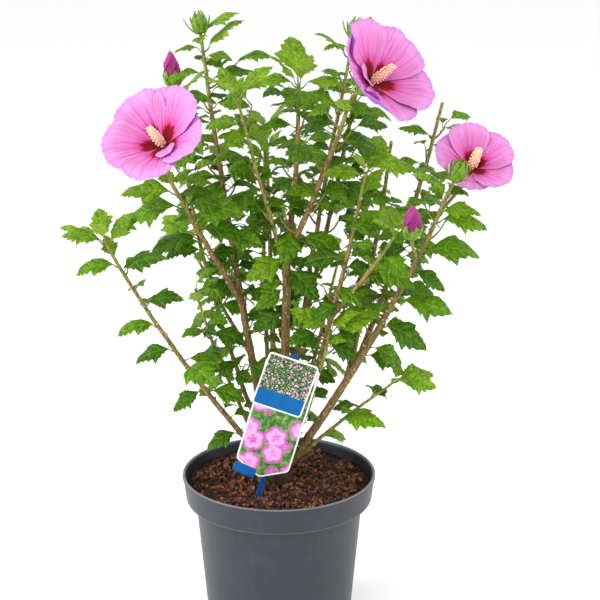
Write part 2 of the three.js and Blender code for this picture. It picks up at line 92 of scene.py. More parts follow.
# A stem's lean is the turn of its tip from +X in degrees, reach the tip's distance from the pot's axis,
# height the tip's height above the soil, bow how far its middle bulges outwards, girth its radius at the foot
# and at the tip, bare the share of it without large leaves, and end what it ends in. A fork is (parent, share
# of the parent).
Stem = namedtuple("Stem", "name fork lean reach height bow girth bare end")
STEMS = [
    Stem("far_left", None, 201, 168, 261, 9, (3.0, 1.4), 0.14, "tuft"),
    Stem("left", None, 151, 83, 436, 4, (4.3, 1.5), 0.44, "bud"),
    Stem("left_bloom", ("left", 0.39), 212, 114, 320, 2, (3.0, 1.7), 0.26, "bloom"),
    Stem("thin_left", None, 139, 136, 378, 22, (2.5, 1.4), 0.3, "petal_bud"),
    Stem("centre", None, 307, 14, 236, 0, (4.6, 3.8), 1, "forks"),
    Stem("centre_top", ("centre", 1), 27, 22, 392, 3, (3.1, 1.6), 0.24, "tuft"),
    Stem("upper_bloom", ("centre", 0.97), 322, 84, 388, 2, (3.0, 1.7), 0.24, "bloom"),
    Stem("centre_left", ("centre", 0.93), 233, 60, 390, 2, (2.2, 1.2), 0.2, "tuft"),
    Stem("centre_right", None, 328, 95, 322, 5, (3.6, 1.4), 0.6, "tuft"),
    Stem("inner_right", ("centre_right", 0.54), 318, 141, 274, 2, (2.3, 1.3), 0.16, "tuft"),
    Stem("right", None, 338, 172, 319, 10, (4.4, 1.6), 0.4, "bud"),
    Stem("right_back", ("right", 0.33), 36, 136, 324, 4, (3.0, 1.6), 0.22, "cut"),
    Stem("right_tall", ("right", 0.37), 22, 170, 365, 6, (2.8, 1.6), 0.25, "cut"),
    Stem("low_right", None, 345, 114, 114, -4, (2.2, 1.2), 0.24, "tuft"),
    Stem("back_bud", None, 43, 98, 427, -8, (3.2, 1.4), 0.36, "bud"),
    Stem("back_cut", ("back_bud", 0.3), 51, 142, 441, 5, (2.4, 1.6), 0.22, "cut"),
    Stem("back", None, 96, 128, 330, 10, (3.4, 1.4), 0.27, "tuft"),
    Stem("back_left", ("back", 0.2), 128, 150, 214, 8, (2.4, 1.3), 0.2, "tuft"),
    Stem("back_middle", None, 112, 34, 330, 14, (2.6, 1.3), 0.24, "tuft"),
    Stem("low_left", None, 176, 80, 196, 6, (2.2, 1.2), 0.22, "tuft"),
    Stem("low_front", None, 318, 66, 170, 4, (2.2, 1.2), 0.24, "tuft"),
    Stem("back_right", None, 66, 152, 196, 10, (2.6, 1.3), 0.25, "tuft"),
]
BY_NAME = {stem.name: stem for stem in STEMS}
LEAFY = [stem for stem in STEMS if stem.bare < 1]
# The leaves that close round a stem's tip: how many, the stem's share where they start, the first's turn
TUFT = {"tuft": (4, 0.98, 0), "bud": (2, 0.955, 180), "petal_bud": (2, 0.955, 180)}

# Each bloom: its stem, the share of the stem where its stalk leaves, the place of its throat, which way it
# faces, its radius and the turn of its first petal.
Bloom = namedtuple("Bloom", "name stem at lean reach height faces radius spin")
BLOOMS = [
    Bloom("left", "left_bloom", 1, 217, 125, 351, (244, 41), 48, 40),
    Bloom("upper", "upper_bloom", 1, 320, 108, 406, (317, 35), 50, 8),
    Bloom("right", "right", 0.86, 354, 179, 318, (284, 47), 38, 35),
]
PETALS = 5
# Small petal-like lobes over the throat of two blooms: turn, reach as a share of the radius, width in degrees
LOBES = {"left": (292, 0.52, 62), "upper": (222, 0.55, 64)}
# The petal of a bloom that lies over both of its neighbours
OUTER = {"left": 0, "upper": 2, "right": 1}
# The side of a bloom whose petals roll up at the rim
ROLLED_UP = {"upper": 232}
COLUMN = {"length": 34, "radius": 4.2, "anthers": 95}
CALYX_RADIUS = 8
BLOOM_BRACTS = 7
SIDE_BUD = {"stem": "right", "at": 0.7, "place": (318, 160, 278), "kind": "petal_bud"}
BUD = {
    "bud": {"length": 21, "radius": 7.2, "bracts": 6, "bract": 17},
    "petal_bud": {"length": 34, "radius": 8.6, "bracts": 5, "bract": 13},
}
# Gaps where the light comes through the foliage: x, and height above the soil, in the plane of the axis
GAPS = [
    (-108, 211), (-86, 209), (74, 113), (93, 111), (-150, 164), (167, 256), (181, 254), (152, 205),
    (-115, 116), (118, 323), (116, 308), (114, 295), (-17, 374), (-97, 182), (-76, 381), (-149, 254),
    (133, 171), (48, 176), (45, 258), (58, 257), (-79, 142), (-21, 150), (35, 189), (51, 360), (122, 142),
]
EYE = Vector((20.7, -1524.6, 802.8))  # where the plant is seen from
LABEL = {
    "foot": (-19.8, -42.9), "lean": 14, "thickness": 0.9,
    "stake": {"width": 6, "depth": 1.8, "buried": 45, "top": 151},
    "card": {"x": -1.8, "z": 88, "width": 52.4, "height": 106, "point": 13, "corner": 3.5, "twist": 2.5},
    "front": {"x": -2.4, "z": 119.6, "width": 49, "height": 54, "point": 0, "corner": 4, "twist": 5.5},
    "tab": {"x": -19.8, "z": 27, "width": 22.5, "height": 9.5, "point": 0, "corner": 3, "twist": 12},
}


# ---- the plant's rule, as in CAD
def seeded(seed):
    """The source's own generator, so that each leaf here stands where its solid does."""
    mask, state = 0xFFFFFFFF, seed

    def draw():
        nonlocal state
        state = (state + 0x6D2B79F5) & mask
        n = ((state ^ (state >> 15)) * (state | 1)) & mask
        n ^= (n + (n ^ (n >> 7)) * (n | 61)) & mask
        return (n ^ (n >> 14)) / 4294967296

    return draw


def toward(turn, elevation=0.0):
    """The way that a turn from +X and an elevation, in degrees, point to."""
    turn, elevation = math.radians(turn), math.radians(elevation)
    level = math.cos(elevation)
    return Vector((level * math.cos(turn), level * math.sin(turn), math.sin(elevation)))


def polar(lean, reach, height):
    """A point by its turn from +X, its distance from the pot's axis and its height above the soil."""
    return toward(lean) * reach + UP * (SOIL_TOP + height)


def smooth(value, low, high):
    value = min(1.0, max(0.0, (value - low) / (high - low)))
    return value * value * (3 - 2 * value)


def foot_of(stem):
    if stem.fork:
        return heart(BY_NAME[stem.fork[0]], stem.fork[1])
    return polar(stem.lean, FOOT_RING, FOOT_HEIGHT)


def heart(stem, share):
    """The stem's axis at a share of its length."""
    bulge = toward(stem.lean) * (4 * stem.bow * share * (1 - share))
    return foot_of(stem).lerp(polar(stem.lean, stem.reach, stem.height), share) + bulge


def along(stem, share):
    return (heart(stem, share) - heart(stem, share - 0.04)).normalized()


def length_of(stem):
    return (polar(stem.lean, stem.reach, stem.height) - foot_of(stem)).length


def girth(stem, share):
    return stem.girth[0] + (stem.girth[1] - stem.girth[0]) * min(1.0, max(0.0, share))


Leaf = namedtuple("Leaf", "root turn size rise bend roll youth")


def leaves_of(stem, index):
    """Leaves turn round their stem by the golden angle, hang more the lower they sit, and get small above."""
    random = seeded(1000 + 77 * index)
    length = length_of(stem)
    last = 0.84 if stem.end == "cut" else 0.94
    first = stem.bare + 0.06
    count = max(3, math.floor((last - first) * length / NODE_GAP + 0.5))
    leaves = []
    for i in range(count):
        r1, r2, r3, r4, r5, r6 = (random() for _ in range(6))
        climb = (i + 0.5) / count
        share = first + (last - first) * climb
        turn = stem.lean + 60 + i * GOLDEN_TURN + (r1 - 0.5) * 40
        young = smooth(climb, 0.72, 1) * (0.4 if stem.end == "cut" else 1)
        outward = 0.9 + 0.14 * math.cos(math.radians(turn - stem.lean))
        size = LEAF["length"] * outward * (0.82 + 0.3 * math.sin(math.pi * climb) - 0.22 * young)
        size *= 0.84 + 0.3 * r2
        bend = (14 + 48 * young + (r4 - 0.5) * 26, -48 + 74 * young + (r4 - 0.5) * 30)
        leaves.append(Leaf(heart(stem, share), turn, size, 38 + 22 * young, bend, (r3 - 0.5) * 36, young))
        if r5 < 0.55:
            aside = (-1 if r6 < 0.5 else 1) * (38 + 30 * r6)
            root = heart(stem, share + 3 / length)
            leaves.append(Leaf(root, turn + aside, size * (0.42 + 0.2 * r3), 60, (40, -12), 0, 0.6))
    if stem.end in TUFT:
        number, start, turned = TUFT[stem.end]
        steep = 0.72 * math.degrees(math.asin(along(stem, 1).z))
        for i in range(number):
            size = LEAF["length"] * (1 - 0.14 * i) * (0.9 + 0.2 * random())
            rise = steep + 7 * i
            turn = stem.lean + turned + i * GOLDEN_TURN
            leaves.append(Leaf(heart(stem, start + 0.006 * i), turn, size, rise, (rise - 8, rise - 48), 0, 1))
    return leaves


# ---- nodes and materials
def linear(code):
    """An sRGB hex colour as linear red, green, blue and alpha."""
    shares = [int(code[i : i + 2], 16) / 255 for i in (1, 3, 5)]
    return (*(c / 12.92 if c <= 0.04045 else ((c + 0.055) / 1.055) ** 2.4 for c in shares), 1.0)


def add(tree, kind, inputs=(), ramp=None, out=0, **settings):
    """Adds a node and returns one of its outputs, or all of them where out is None. inputs holds values, or
    the sockets that feed them, in the sockets' order or by socket name or number."""
    made = tree.nodes.new(kind)
    for name, value in settings.items():
        setattr(made, name, value)
    if ramp:
        elements = made.color_ramp.elements
        while len(elements) < len(ramp):
            elements.new(0.5)
        for element, (place, colour) in zip(elements, ramp):
            element.position = place
            element.color = linear(colour)
    for name, value in inputs.items() if isinstance(inputs, dict) else enumerate(inputs):
        if isinstance(value, bpy.types.NodeSocket):
            tree.links.new(value, made.inputs[name])
        else:
            made.inputs[name].default_value = value
    return made.outputs if out is None else made.outputs[out]


MIX = {"out": 2, "data_type": "RGBA"}  # the settings of a Mix node that blends colours 6 and 7 by share 0
TIMES = {**MIX, "blend_type": "MULTIPLY"}


def new_material(name, **constants):
    """A material, its tree for more nodes, and its Principled shader with these constants on its sockets."""
    made = bpy.data.materials.new(name)
    made.use_nodes = True
    shader = made.node_tree.nodes["Principled BSDF"]
    for socket, value in constants.items():
        shader.inputs[socket.replace("_", " ")].default_value = value
    return made, made.node_tree, shader


def feed(shader, **sources):
    """Links sources to the shader's sockets of the same names."""
    for socket, source in sources.items():
        shader.id_data.links.new(source, shader.inputs[socket.replace("_", " ")])


def let_light_through(tree, shader, skin, share):
    """Mixes light that passes through the sheet, in the skin's colour, into what the sheet reflects."""
    glow = add(tree, "ShaderNodeBsdfTranslucent", {"Color": skin})
    mixed = add(tree, "ShaderNodeMixShader", [share, shader.outputs[0], glow])
    tree.links.new(mixed, tree.nodes["Material Output"].inputs["Surface"])


def polypropylene_moulded():
    """Nursery-pot polypropylene, injection moulded: a dark grey satin skin with a fine orange-peel, faint
    upright flow marks and dust that dulls it in patches, so that broad soft highlights break up a little."""
    made, tree, shader = new_material("polypropylene_moulded", Roughness=0.42, IOR=1.49)
    place = add(tree, "ShaderNodeTexCoord", out="Object")
    flow = add(tree, "ShaderNodeMapping", {"Vector": place, "Scale": (220, 220, 9)})
    marks = add(tree, "ShaderNodeTexNoise", {"Vector": flow, "Scale": 1.0, "Detail": 3.0})
    dust = add(tree, "ShaderNodeTexNoise", {"Vector": place, "Scale": 38.0, "Detail": 6.0, "Roughness": 0.65})
    grey = [(0.3, "#20242b"), (0.52, "#262a32"), (0.75, "#2f333a")]
    colour = add(tree, "ShaderNodeValToRGB", [dust], ramp=grey)
    streaked = add(tree, "ShaderNodeValToRGB", [marks], ramp=[(0.35, "#ececec"), (0.6, "#ffffff")])
    skin = add(tree, "ShaderNodeMix", {0: 1.0, 6: colour, 7: streaked}, **TIMES)
    height = add(tree, "ShaderNodeSeparateXYZ", [place], out=2)
    edges = []
    for edge in (POT["height"], SEAT):
        away = add(tree, "ShaderNodeMath", [height, edge * MM], operation="SUBTRACT")
        edges.append(add(tree, "ShaderNodeMath", [away], operation="ABSOLUTE"))
    near = add(tree, "ShaderNodeMath", edges, operation="MINIMUM")
    near = add(tree, "ShaderNodeMath", [dust, 0.001, near], operation="MULTIPLY_ADD")
    painted_edge_highlight = add(tree, "ShaderNodeMapRange", [near, 0.0009, 0.0019, 0.5, 0.0])  # painted highlight along the rim's top edge and the collar's lower edge
    skin = add(tree, "ShaderNodeMix", {0: painted_edge_highlight, 6: skin, 7: linear("#8b9198")}, **MIX)
    rough = add(tree, "ShaderNodeMapRange", {"Value": dust, "To Min": 0.36, "To Max": 0.52})
    peel = add(tree, "ShaderNodeTexNoise", {"Vector": place, "Scale": 700.0, "Detail": 2.0})  # 1.4 mm
    bump = add(tree, "ShaderNodeBump", {"Height": peel, "Distance": 0.0001, "Strength": 0.35})
    feed(shader, Base_Color=skin, Roughness=rough, Normal=bump)
    return made


def peat_and_bark(name, dark, middle, light):
    """Potting mix of peat and shredded pine bark: matt crumbs whose colour changes from grain to grain."""
    made, tree, shader = new_material(name, Roughness=0.92, IOR=1.4)
    place = add(tree, "ShaderNodeTexCoord", out="Object")
    grain = add(tree, "ShaderNodeTexVoronoi", {"Vector": place, "Scale": 330.0}, out="Color")  # 3 mm crumbs
    fleck = add(tree, "ShaderNodeTexNoise", {"Vector": place, "Scale": 900.0, "Detail": 4.0})
    shade = add(tree, "ShaderNodeMix", {0: 0.45, 2: grain, 3: fleck}, data_type="FLOAT")
    colour = add(tree, "ShaderNodeValToRGB", [shade], ramp=[(0.25, dark), (0.5, middle), (0.78, light)])
    bump = add(tree, "ShaderNodeBump", {"Height": fleck, "Distance": 0.0006, "Strength": 0.8})
    feed(shader, Base_Color=colour, Normal=bump)
    return made


def young_bark():
    """Hibiscus bark: thin and satin, grey-brown on old wood and olive on new, with fine upright fissures and
    small pale breathing pores."""
    made, tree, shader = new_material("young_bark", Roughness=0.72, IOR=1.45)
    place = add(tree, "ShaderNodeTexCoord", out="Object")
    age = add(tree, "ShaderNodeAttribute", attribute_name="age", out="Fac")
    drawn = add(tree, "ShaderNodeMapping", {"Vector": place, "Scale": (620, 620, 95)})  # 1.6 mm ridges
    fissure = add(tree, "ShaderNodeTexNoise", {"Vector": drawn, "Scale": 1.0, "Detail": 4.0})
    blotch = add(tree, "ShaderNodeTexNoise", {"Vector": place, "Scale": 60.0, "Detail": 2.0})
    aged = add(tree, "ShaderNodeMath", [blotch, 0.5, age], operation="MULTIPLY_ADD")
    wood = [(0.22, "#858f3a"), (0.42, "#91803f"), (0.7, "#8f7544"), (1.0, "#866a3e")]
    tone = add(tree, "ShaderNodeValToRGB", [aged], ramp=wood)
    lined = add(tree, "ShaderNodeValToRGB", [fissure], ramp=[(0.36, "#75624f"), (0.56, "#ffffff")])
    skin = add(tree, "ShaderNodeMix", {0: 0.7, 6: tone, 7: lined}, **TIMES)
    pores = add(tree, "ShaderNodeTexVoronoi", {"Vector": place, "Scale": 230.0}, out="Distance")  # 4 mm apart
    pore = add(tree, "ShaderNodeMapRange", [pores, 0.14, 0.23, 0.75, 0.0])
    skin = add(tree, "ShaderNodeMix", {0: pore, 6: skin, 7: linear("#c4a977")}, **MIX)
    rise = add(tree, "ShaderNodeSeparateXYZ", [place], out=2)
    ragged = add(tree, "ShaderNodeMath", [blotch, 0.022, rise], operation="MULTIPLY_ADD")
    peat = add(tree, "ShaderNodeMapRange", [ragged, 0.176, 0.2, 0.92, 0.0])  # splashed 2 cm up from the soil
    skin = add(tree, "ShaderNodeMix", {0: peat, 6: skin, 7: linear("#2e1b13")}, **MIX)
    height = add(tree, "ShaderNodeMath", [pore, 0.4, fissure], operation="MULTIPLY_ADD")
    bump = add(tree, "ShaderNodeBump", {"Height": height, "Distance": 0.0005, "Strength": 0.6})
    feed(shader, Base_Color=skin, Normal=bump)
    return made


def leaf_blade(name, colour, vein, underside):
    """A hibiscus leaf: a thin waxy blade, soft gloss above, paler below, that lets a quarter of the light
    through. Its map runs from stalk to tip and from edge to edge, with midrib and side veins drawn on it."""
    made, tree, shader = new_material(name, Roughness=0.42, IOR=1.45, Specular_IOR_Level=0.22)
    chart = add(tree, "ShaderNodeUVMap", uv_map="UVMap")
    forth, across, _ = add(tree, "ShaderNodeSeparateXYZ", [chart], out=None)
    off = add(tree, "ShaderNodeMath", [across, 0.5], operation="SUBTRACT")
    aside = add(tree, "ShaderNodeMath", [off], operation="ABSOLUTE")
    run = add(tree, "ShaderNodeMath", [aside, -0.8, forth], operation="MULTIPLY_ADD")
    rows = add(tree, "ShaderNodeMath", [run, 0.125], operation="PINGPONG")  # side veins
    basal = add(tree, "ShaderNodeMath", [aside, -1.05, forth], operation="MULTIPLY_ADD")
    basal = add(tree, "ShaderNodeMath", [basal], operation="ABSOLUTE")
    thin = add(tree, "ShaderNodeMath", [rows, basal], operation="MINIMUM")
    thin = add(tree, "ShaderNodeMath", [thin, aside], operation="MINIMUM")
    ribs = add(tree, "ShaderNodeMapRange", [thin, 0.006, 0.023, 1.0, 0.0])
    veined = add(tree, "ShaderNodeMath", [ribs, 0.45], operation="MULTIPLY")
    above = add(tree, "ShaderNodeMix", {0: veined, 6: linear(colour), 7: linear(vein)}, **MIX)
    place = add(tree, "ShaderNodeTexCoord", out="Object")
    patch = add(tree, "ShaderNodeTexNoise", {"Vector": place, "Scale": 85.0, "Detail": 3.0})
    uneven = add(tree, "ShaderNodeValToRGB", [patch], ramp=[(0.3, "#c9d2b8"), (0.62, "#ffffff")])
    above = add(tree, "ShaderNodeMix", {0: 1.0, 6: above, 7: uneven}, **TIMES)
    pucker = add(tree, "ShaderNodeTexNoise", {"Vector": place, "Scale": 420.0, "Detail": 1.0})  # 2.4 mm
    # Darker in the pucker's hollows: painted shade of the relief that the bump also gives
    painted_pucker_shade = add(tree, "ShaderNodeValToRGB", [pucker], ramp=[(0.3, "#a3b184"), (0.62, "#fafde8")])
    above = add(tree, "ShaderNodeMix", {0: 0.8, 6: above, 7: painted_pucker_shade}, **TIMES)
    behind = add(tree, "ShaderNodeNewGeometry", out="Backfacing")
    skin = add(tree, "ShaderNodeMix", {0: behind, 6: above, 7: linear(underside)}, **MIX)
    quilt = add(tree, "ShaderNodeMapRange", {"Value": thin, "From Max": 0.08})
    relief = add(tree, "ShaderNodeMath", [pucker, 0.7, quilt], operation="MULTIPLY_ADD")
    bump = add(tree, "ShaderNodeBump", {"Height": relief, "Distance": 0.0016, "Strength": 0.7})
    feed(shader, Base_Color=skin, Normal=bump)
    let_light_through(tree, shader, skin, 0.28)
    return made


def petal_skin(name, stops, vein, glow_share):
    """Hibiscus petal: a crepe-thin, matt velvety sheet with veins that fan out from a crimson throat. Its map
    runs from edge to edge and from throat to rim."""
    velvet = {"Roughness": 0.62, "IOR": 1.4, "Specular_IOR_Level": 0.25, "Sheen_Weight": 0.08}
    made, tree, shader = new_material(name, **velvet)
    chart = add(tree, "ShaderNodeUVMap", uv_map="UVMap")
    across, outwards, _ = add(tree, "ShaderNodeSeparateXYZ", [chart], out=None)
    fan = add(tree, "ShaderNodeMapping", {"Vector": chart, "Scale": (17, 0.9, 1)})
    streak = add(tree, "ShaderNodeTexNoise", {"Vector": fan, "Scale": 1.0, "Detail": 2.0})
    ragged = add(tree, "ShaderNodeMath", [streak, 0.24, outwards], operation="MULTIPLY_ADD")
    off = add(tree, "ShaderNodeMath", [across, 0.5], operation="SUBTRACT")
    off = add(tree, "ShaderNodeMath", [off, off], operation="MULTIPLY")
    near = add(tree, "ShaderNodeMath", [1.0, outwards], operation="SUBTRACT")
    off = add(tree, "ShaderNodeMath", [off, near], operation="MULTIPLY")
    ragged = add(tree, "ShaderNodeMath", [off, 1.3, ragged], operation="MULTIPLY_ADD")  # parts the blotches
    ragged = add(tree, "ShaderNodeMath", [ragged, 0.88], operation="MULTIPLY")
    tone = add(tree, "ShaderNodeValToRGB", [ragged], ramp=stops)
    lines = add(tree, "ShaderNodeMapping", {"Vector": chart, "Scale": (15, 0.5, 1)})
    web = add(tree, "ShaderNodeTexNoise", {"Vector": lines, "Scale": 1.0, "Detail": 1.0})
    web = add(tree, "ShaderNodeMath", [web, 0.5], operation="SUBTRACT")
    web = add(tree, "ShaderNodeMath", [web], operation="ABSOLUTE")
    veins = add(tree, "ShaderNodeMapRange", [web, 0.0, 0.045, 1.0, 0.0])
    fades = add(tree, "ShaderNodeMapRange", {"Value": outwards, "To Min": 1.0, "To Max": 0.35})
    drawn = add(tree, "ShaderNodeMath", [veins, fades], operation="MULTIPLY")
    skin = add(tree, "ShaderNodeMix", {0: drawn, 6: tone, 7: linear(vein)}, **TIMES)
    bump = add(tree, "ShaderNodeBump", {"Height": web, "Distance": 0.004, "Strength": 0.5})
    feed(shader, Base_Color=skin, Normal=bump)
    let_light_through(tree, shader, skin, glow_share)
    return made


def soft_tissue(name, low, high, roughness=0.55, grain=500.0):
    """Sepals, anthers and other small soft parts: two tones that cloud into each other under fine down."""
    made, tree, shader = new_material(name, Roughness=roughness, IOR=1.42, Specular_IOR_Level=0.3)
    place = add(tree, "ShaderNodeTexCoord", out="Object")
    cloud = add(tree, "ShaderNodeTexNoise", {"Vector": place, "Scale": grain, "Detail": 2.0})
    tone = add(tree, "ShaderNodeValToRGB", [cloud], ramp=[(0.35, low), (0.65, high)])
    bump = add(tree, "ShaderNodeBump", {"Height": cloud, "Distance": 0.0003, "Strength": 0.4})
    feed(shader, Base_Color=tone, Normal=bump)
    return made


def stamen_column_skin():
    """The stamen column: fleshy, cream at the tip, blushing pink towards the throat; its map runs up it."""
    made, tree, shader = new_material("stamen_column_skin", Roughness=0.5, IOR=1.42)
    chart = add(tree, "ShaderNodeUVMap", uv_map="UVMap")
    up = add(tree, "ShaderNodeSeparateXYZ", [chart], out=1)
    stops = [(0.0, "#b3244f"), (0.1, "#e0898a"), (0.28, "#f2bd90"), (0.6, "#fbe2b4")]
    feed(shader, Base_Color=add(tree, "ShaderNodeValToRGB", [up], ramp=stops))
    return made


def garden_print():
    """A printed polypropylene label: glossy ink on white board. The print is a plain garden pattern, pink and
    white dots strewn over greenery, on the card's own map in centimetres."""
    made, tree, shader = new_material("garden_print", Roughness=0.42, IOR=1.49, Specular_IOR_Level=0.3)
    chart = add(tree, "ShaderNodeUVMap", uv_map="UVMap")
    cloud = add(tree, "ShaderNodeTexNoise", {"Vector": chart, "Scale": 5.0, "Detail": 3.0})
    ink = add(tree, "ShaderNodeValToRGB", [cloud], ramp=[(0.35, "#0c1608"), (0.65, "#507a34")])
    for scale, inside, outside, colour in ((3.0, 0.3, 0.36, "#d291bd"), (6.5, 0.22, 0.29, "#eae4e2")):
        apart = add(tree, "ShaderNodeTexVoronoi", {"Vector": chart, "Scale": scale}, out="Distance")
        dot = add(tree, "ShaderNodeMapRange", [apart, inside, outside, 1.0, 0.0])
        ink = add(tree, "ShaderNodeMix", {0: dot, 6: ink, 7: linear(colour)}, **MIX)
    feed(shader, Base_Color=ink)
    return made


def blossom_print():
    """The label's lower print: strewn round blossoms with five-lobed rings, over blurred greenery."""
    made, tree, shader = new_material("blossom_print", Roughness=0.42, IOR=1.49, Specular_IOR_Level=0.3)
    chart = add(tree, "ShaderNodeUVMap", uv_map="UVMap")
    cells = {"Vector": chart, "Scale": 0.43, "Randomness": 0.75}  # 23 mm apart
    eye = add(tree, "ShaderNodeTexVoronoi", cells, out="Position")
    from_eye = add(tree, "ShaderNodeVectorMath", [chart, eye], operation="SUBTRACT")
    right, up, _ = add(tree, "ShaderNodeSeparateXYZ", [from_eye], out=None)
    lobes = add(tree, "ShaderNodeMath", [up, right], operation="ARCTAN2")
    lobes = add(tree, "ShaderNodeMath", [lobes, PETALS / 2], operation="MULTIPLY")
    for step in ("SINE", "ABSOLUTE"):
        lobes = add(tree, "ShaderNodeMath", [lobes], operation=step)
    apart = add(tree, "ShaderNodeVectorMath", [from_eye], operation="LENGTH", out="Value")
    wavy = add(tree, "ShaderNodeMath", [lobes, -0.14, apart], operation="MULTIPLY_ADD")
    rough = add(tree, "ShaderNodeTexNoise", {"Vector": chart, "Scale": 1.9, "Detail": 3.0})
    wavy = add(tree, "ShaderNodeMath", [rough, 0.3, wavy], operation="MULTIPLY_ADD")
    layers = add(tree, "ShaderNodeMath", [wavy, 0.31], operation="PINGPONG")
    pinks = [(0.0, "#b2479a"), (0.08, "#d572be"), (0.3, "#f2ade4")]
    pink = add(tree, "ShaderNodeValToRGB", [layers], ramp=pinks)
    greenery = [(0.35, "#27511c"), (0.5, "#47792f"), (0.65, "#86a556")]
    green = add(tree, "ShaderNodeValToRGB", [rough], ramp=greenery)
    edge = add(tree, "ShaderNodeMapRange", [wavy, 1.3, 1.33])
    ink = add(tree, "ShaderNodeMix", {0: edge, 6: pink, 7: green}, **MIX)
    outside = add(tree, "ShaderNodeMapRange", [apart, 0.14, 0.2])
    ink = add(tree, "ShaderNodeMix", {0: outside, 6: linear("#e3c480"), 7: ink}, **MIX)
    feed(shader, Base_Color=ink)
    return made


def label_board(name, colour, roughness=0.34, shine=0.5):
    """Extruded polypropylene label stock: smooth, faintly glossy, with a barely uneven face."""
    made, tree, shader = new_material(name, Roughness=roughness, IOR=1.49, Specular_IOR_Level=shine)
    place = add(tree, "ShaderNodeTexCoord", out="Object")
    cloud = add(tree, "ShaderNodeTexNoise", {"Vector": place, "Scale": 90.0, "Detail": 3.0})
    tones = add(tree, "ShaderNodeValToRGB", [cloud], ramp=[(0.3, "#e9e9e9"), (0.6, "#ffffff")])
    skin = add(tree, "ShaderNodeMix", {0: 1.0, 6: linear(colour), 7: tones}, **TIMES)
    bump = add(tree, "ShaderNodeBump", {"Height": cloud, "Distance": 0.0002, "Strength": 0.2})
    feed(shader, Base_Color=skin, Normal=bump)
    return made


PETAL_FACE = [(0.0, "#5c0008"), (0.345, "#96000c"), (0.375, "#c01040"), (0.41, "#e65cae"), (0.53, "#ee88d0"),
              (0.9, "#f2a6e0"), (1.0, "#dd9ce6")]
PETAL_BACK = [(0.0, "#a03c98"), (0.5, "#bc5ac4"), (1.0, "#c886e0")]
PETAL_ROLLED = [(0.0, "#6f104b"), (0.5, "#94206a"), (1.0, "#b24490")]
FINISH = {
    "pot": polypropylene_moulded(),
    # The bed shows only between the crumbs: its browns are peat's own dark colour, made darker still as
    # painted shade of those gaps
    "soil": peat_and_bark("peat_and_bark", "#140a07", "#2a1610", "#4a2a1c"),
    "crumb": peat_and_bark("peat_crumb", "#0a0504", "#2b1811", "#6b422d"),
    "chip": peat_and_bark("pine_bark_chip", "#120806", "#4a2818", "#a3683f"),
    "bark": young_bark(),
    # The full and deep greens also serve as painted shade for the leaves in the plant's shaded middle
    "fresh": leaf_blade("leaf_fresh", "#84ae1a", "#bcd66a", "#93b33e"),
    "bright": leaf_blade("leaf_bright", "#78a60f", "#b6d060", "#84a634"),
    "full": leaf_blade("leaf_full", "#66970a", "#a7c452", "#749a2d"),
    "deep": leaf_blade("leaf_deep", "#4c7c08", "#8dae42", "#5f8526"),
    "petal": petal_skin("petal_face", PETAL_FACE, "#e08fce", 0.3),
    "petal_back": petal_skin("petal_back", PETAL_BACK, "#c090c3", 0.3),
    # On the rolled bud the vein lines are dark grey: real veins, darkened as painted shade of its crumpled
    # folds
    "rolled": petal_skin("rolled_petal", PETAL_ROLLED, "#8a7a8a", 0.1),
    "column": stamen_column_skin(),
    "anther": soft_tissue("anther", "#f6cd9c", "#fff3d6", 0.6, 350.0),
    "sepal": soft_tissue("sepal", "#4f7818", "#78992f", 0.5, 420.0),
    "bud_scale": soft_tissue("bud_scale", "#86a03e", "#b9bf78", 0.5, 400.0),
    "cut_wood": soft_tissue("cut_wood", "#b9a65f", "#d8c98c", 0.8, 900.0),
    "board": label_board("label_board", "#f3f3ee"),
    "ink_blue": label_board("ink_blue", "#0060a2", 0.42, 0.15),
    "stake_blue": label_board("stake_blue", "#12529f", 0.36, 0.3),
    "garden_print": garden_print(),
    "blossom_print": blossom_print(),
}


# ---- making meshes
def placed(name, data):
    """An object of this data, in the scene."""
    made = bpy.data.objects.new(name, data)
    bpy.context.scene.collection.objects.link(made)
    return made


def new_object(name, surface, finish=(), smooth_shaded=True):
    """A mesh object of a surface: its points in millimetres, its faces and, if it has one, its map."""
    points, faces, *charts = surface
    mesh = bpy.data.meshes.new(name)
    mesh.from_pydata([Vector(p) * MM for p in points], [], faces)
    for one in [finish] if isinstance(finish, str) else finish:
        mesh.materials.append(FINISH[one])
    if charts:
        layer = mesh.uv_layers.new(name="UVMap")
        for loop in mesh.loops:
            layer.data[loop.index].uv = charts[0][loop.vertex_index]
    for polygon in mesh.polygons:
        polygon.use_smooth = smooth_shaded
    return placed(name, mesh)


def from_bmesh(name, work):
    mesh = bpy.data.meshes.new(name)
    work.to_mesh(mesh)
    work.free()
    return placed(name, mesh)


def bands(rows, across, columns=None, first=0):
    """The faces between rows of points, which start at point first. Rows close on themselves unless columns,
    the faces to a row, is less than the points across."""
    faces = []
    for low in range(first, first + (rows - 1) * across, across):
        for j in range(columns or across):
            k = (j + 1) % across
            faces.append((low + j, low + k, low + across + k, low + across + j))
    return faces


def woven(rows, columns, place, closed=False):
    """Points, faces and map of a surface: place(s, t) for s from row to row and t from column to column."""
    across = columns if closed else columns + 1
    spots = [(i / rows, j / columns) for i in range(rows + 1) for j in range(across)]
    return [place(s, t) for s, t in spots], bands(rows + 1, across, columns), [(t, s) for s, t in spots]


def moved(surface, place):
    """A surface with each point where place sends it."""
    points, faces, charts = surface
    return [place(p) for p in points], faces, charts


def joined(parts):
    """Several (points, faces, charts) as one."""
    points, faces, charts = [], [], []
    for some_points, some_faces, some_charts in parts:
        start = len(points)
        points += some_points
        charts += some_charts
        faces += [tuple(start + k for k in face) for face in some_faces]
    return points, faces, charts


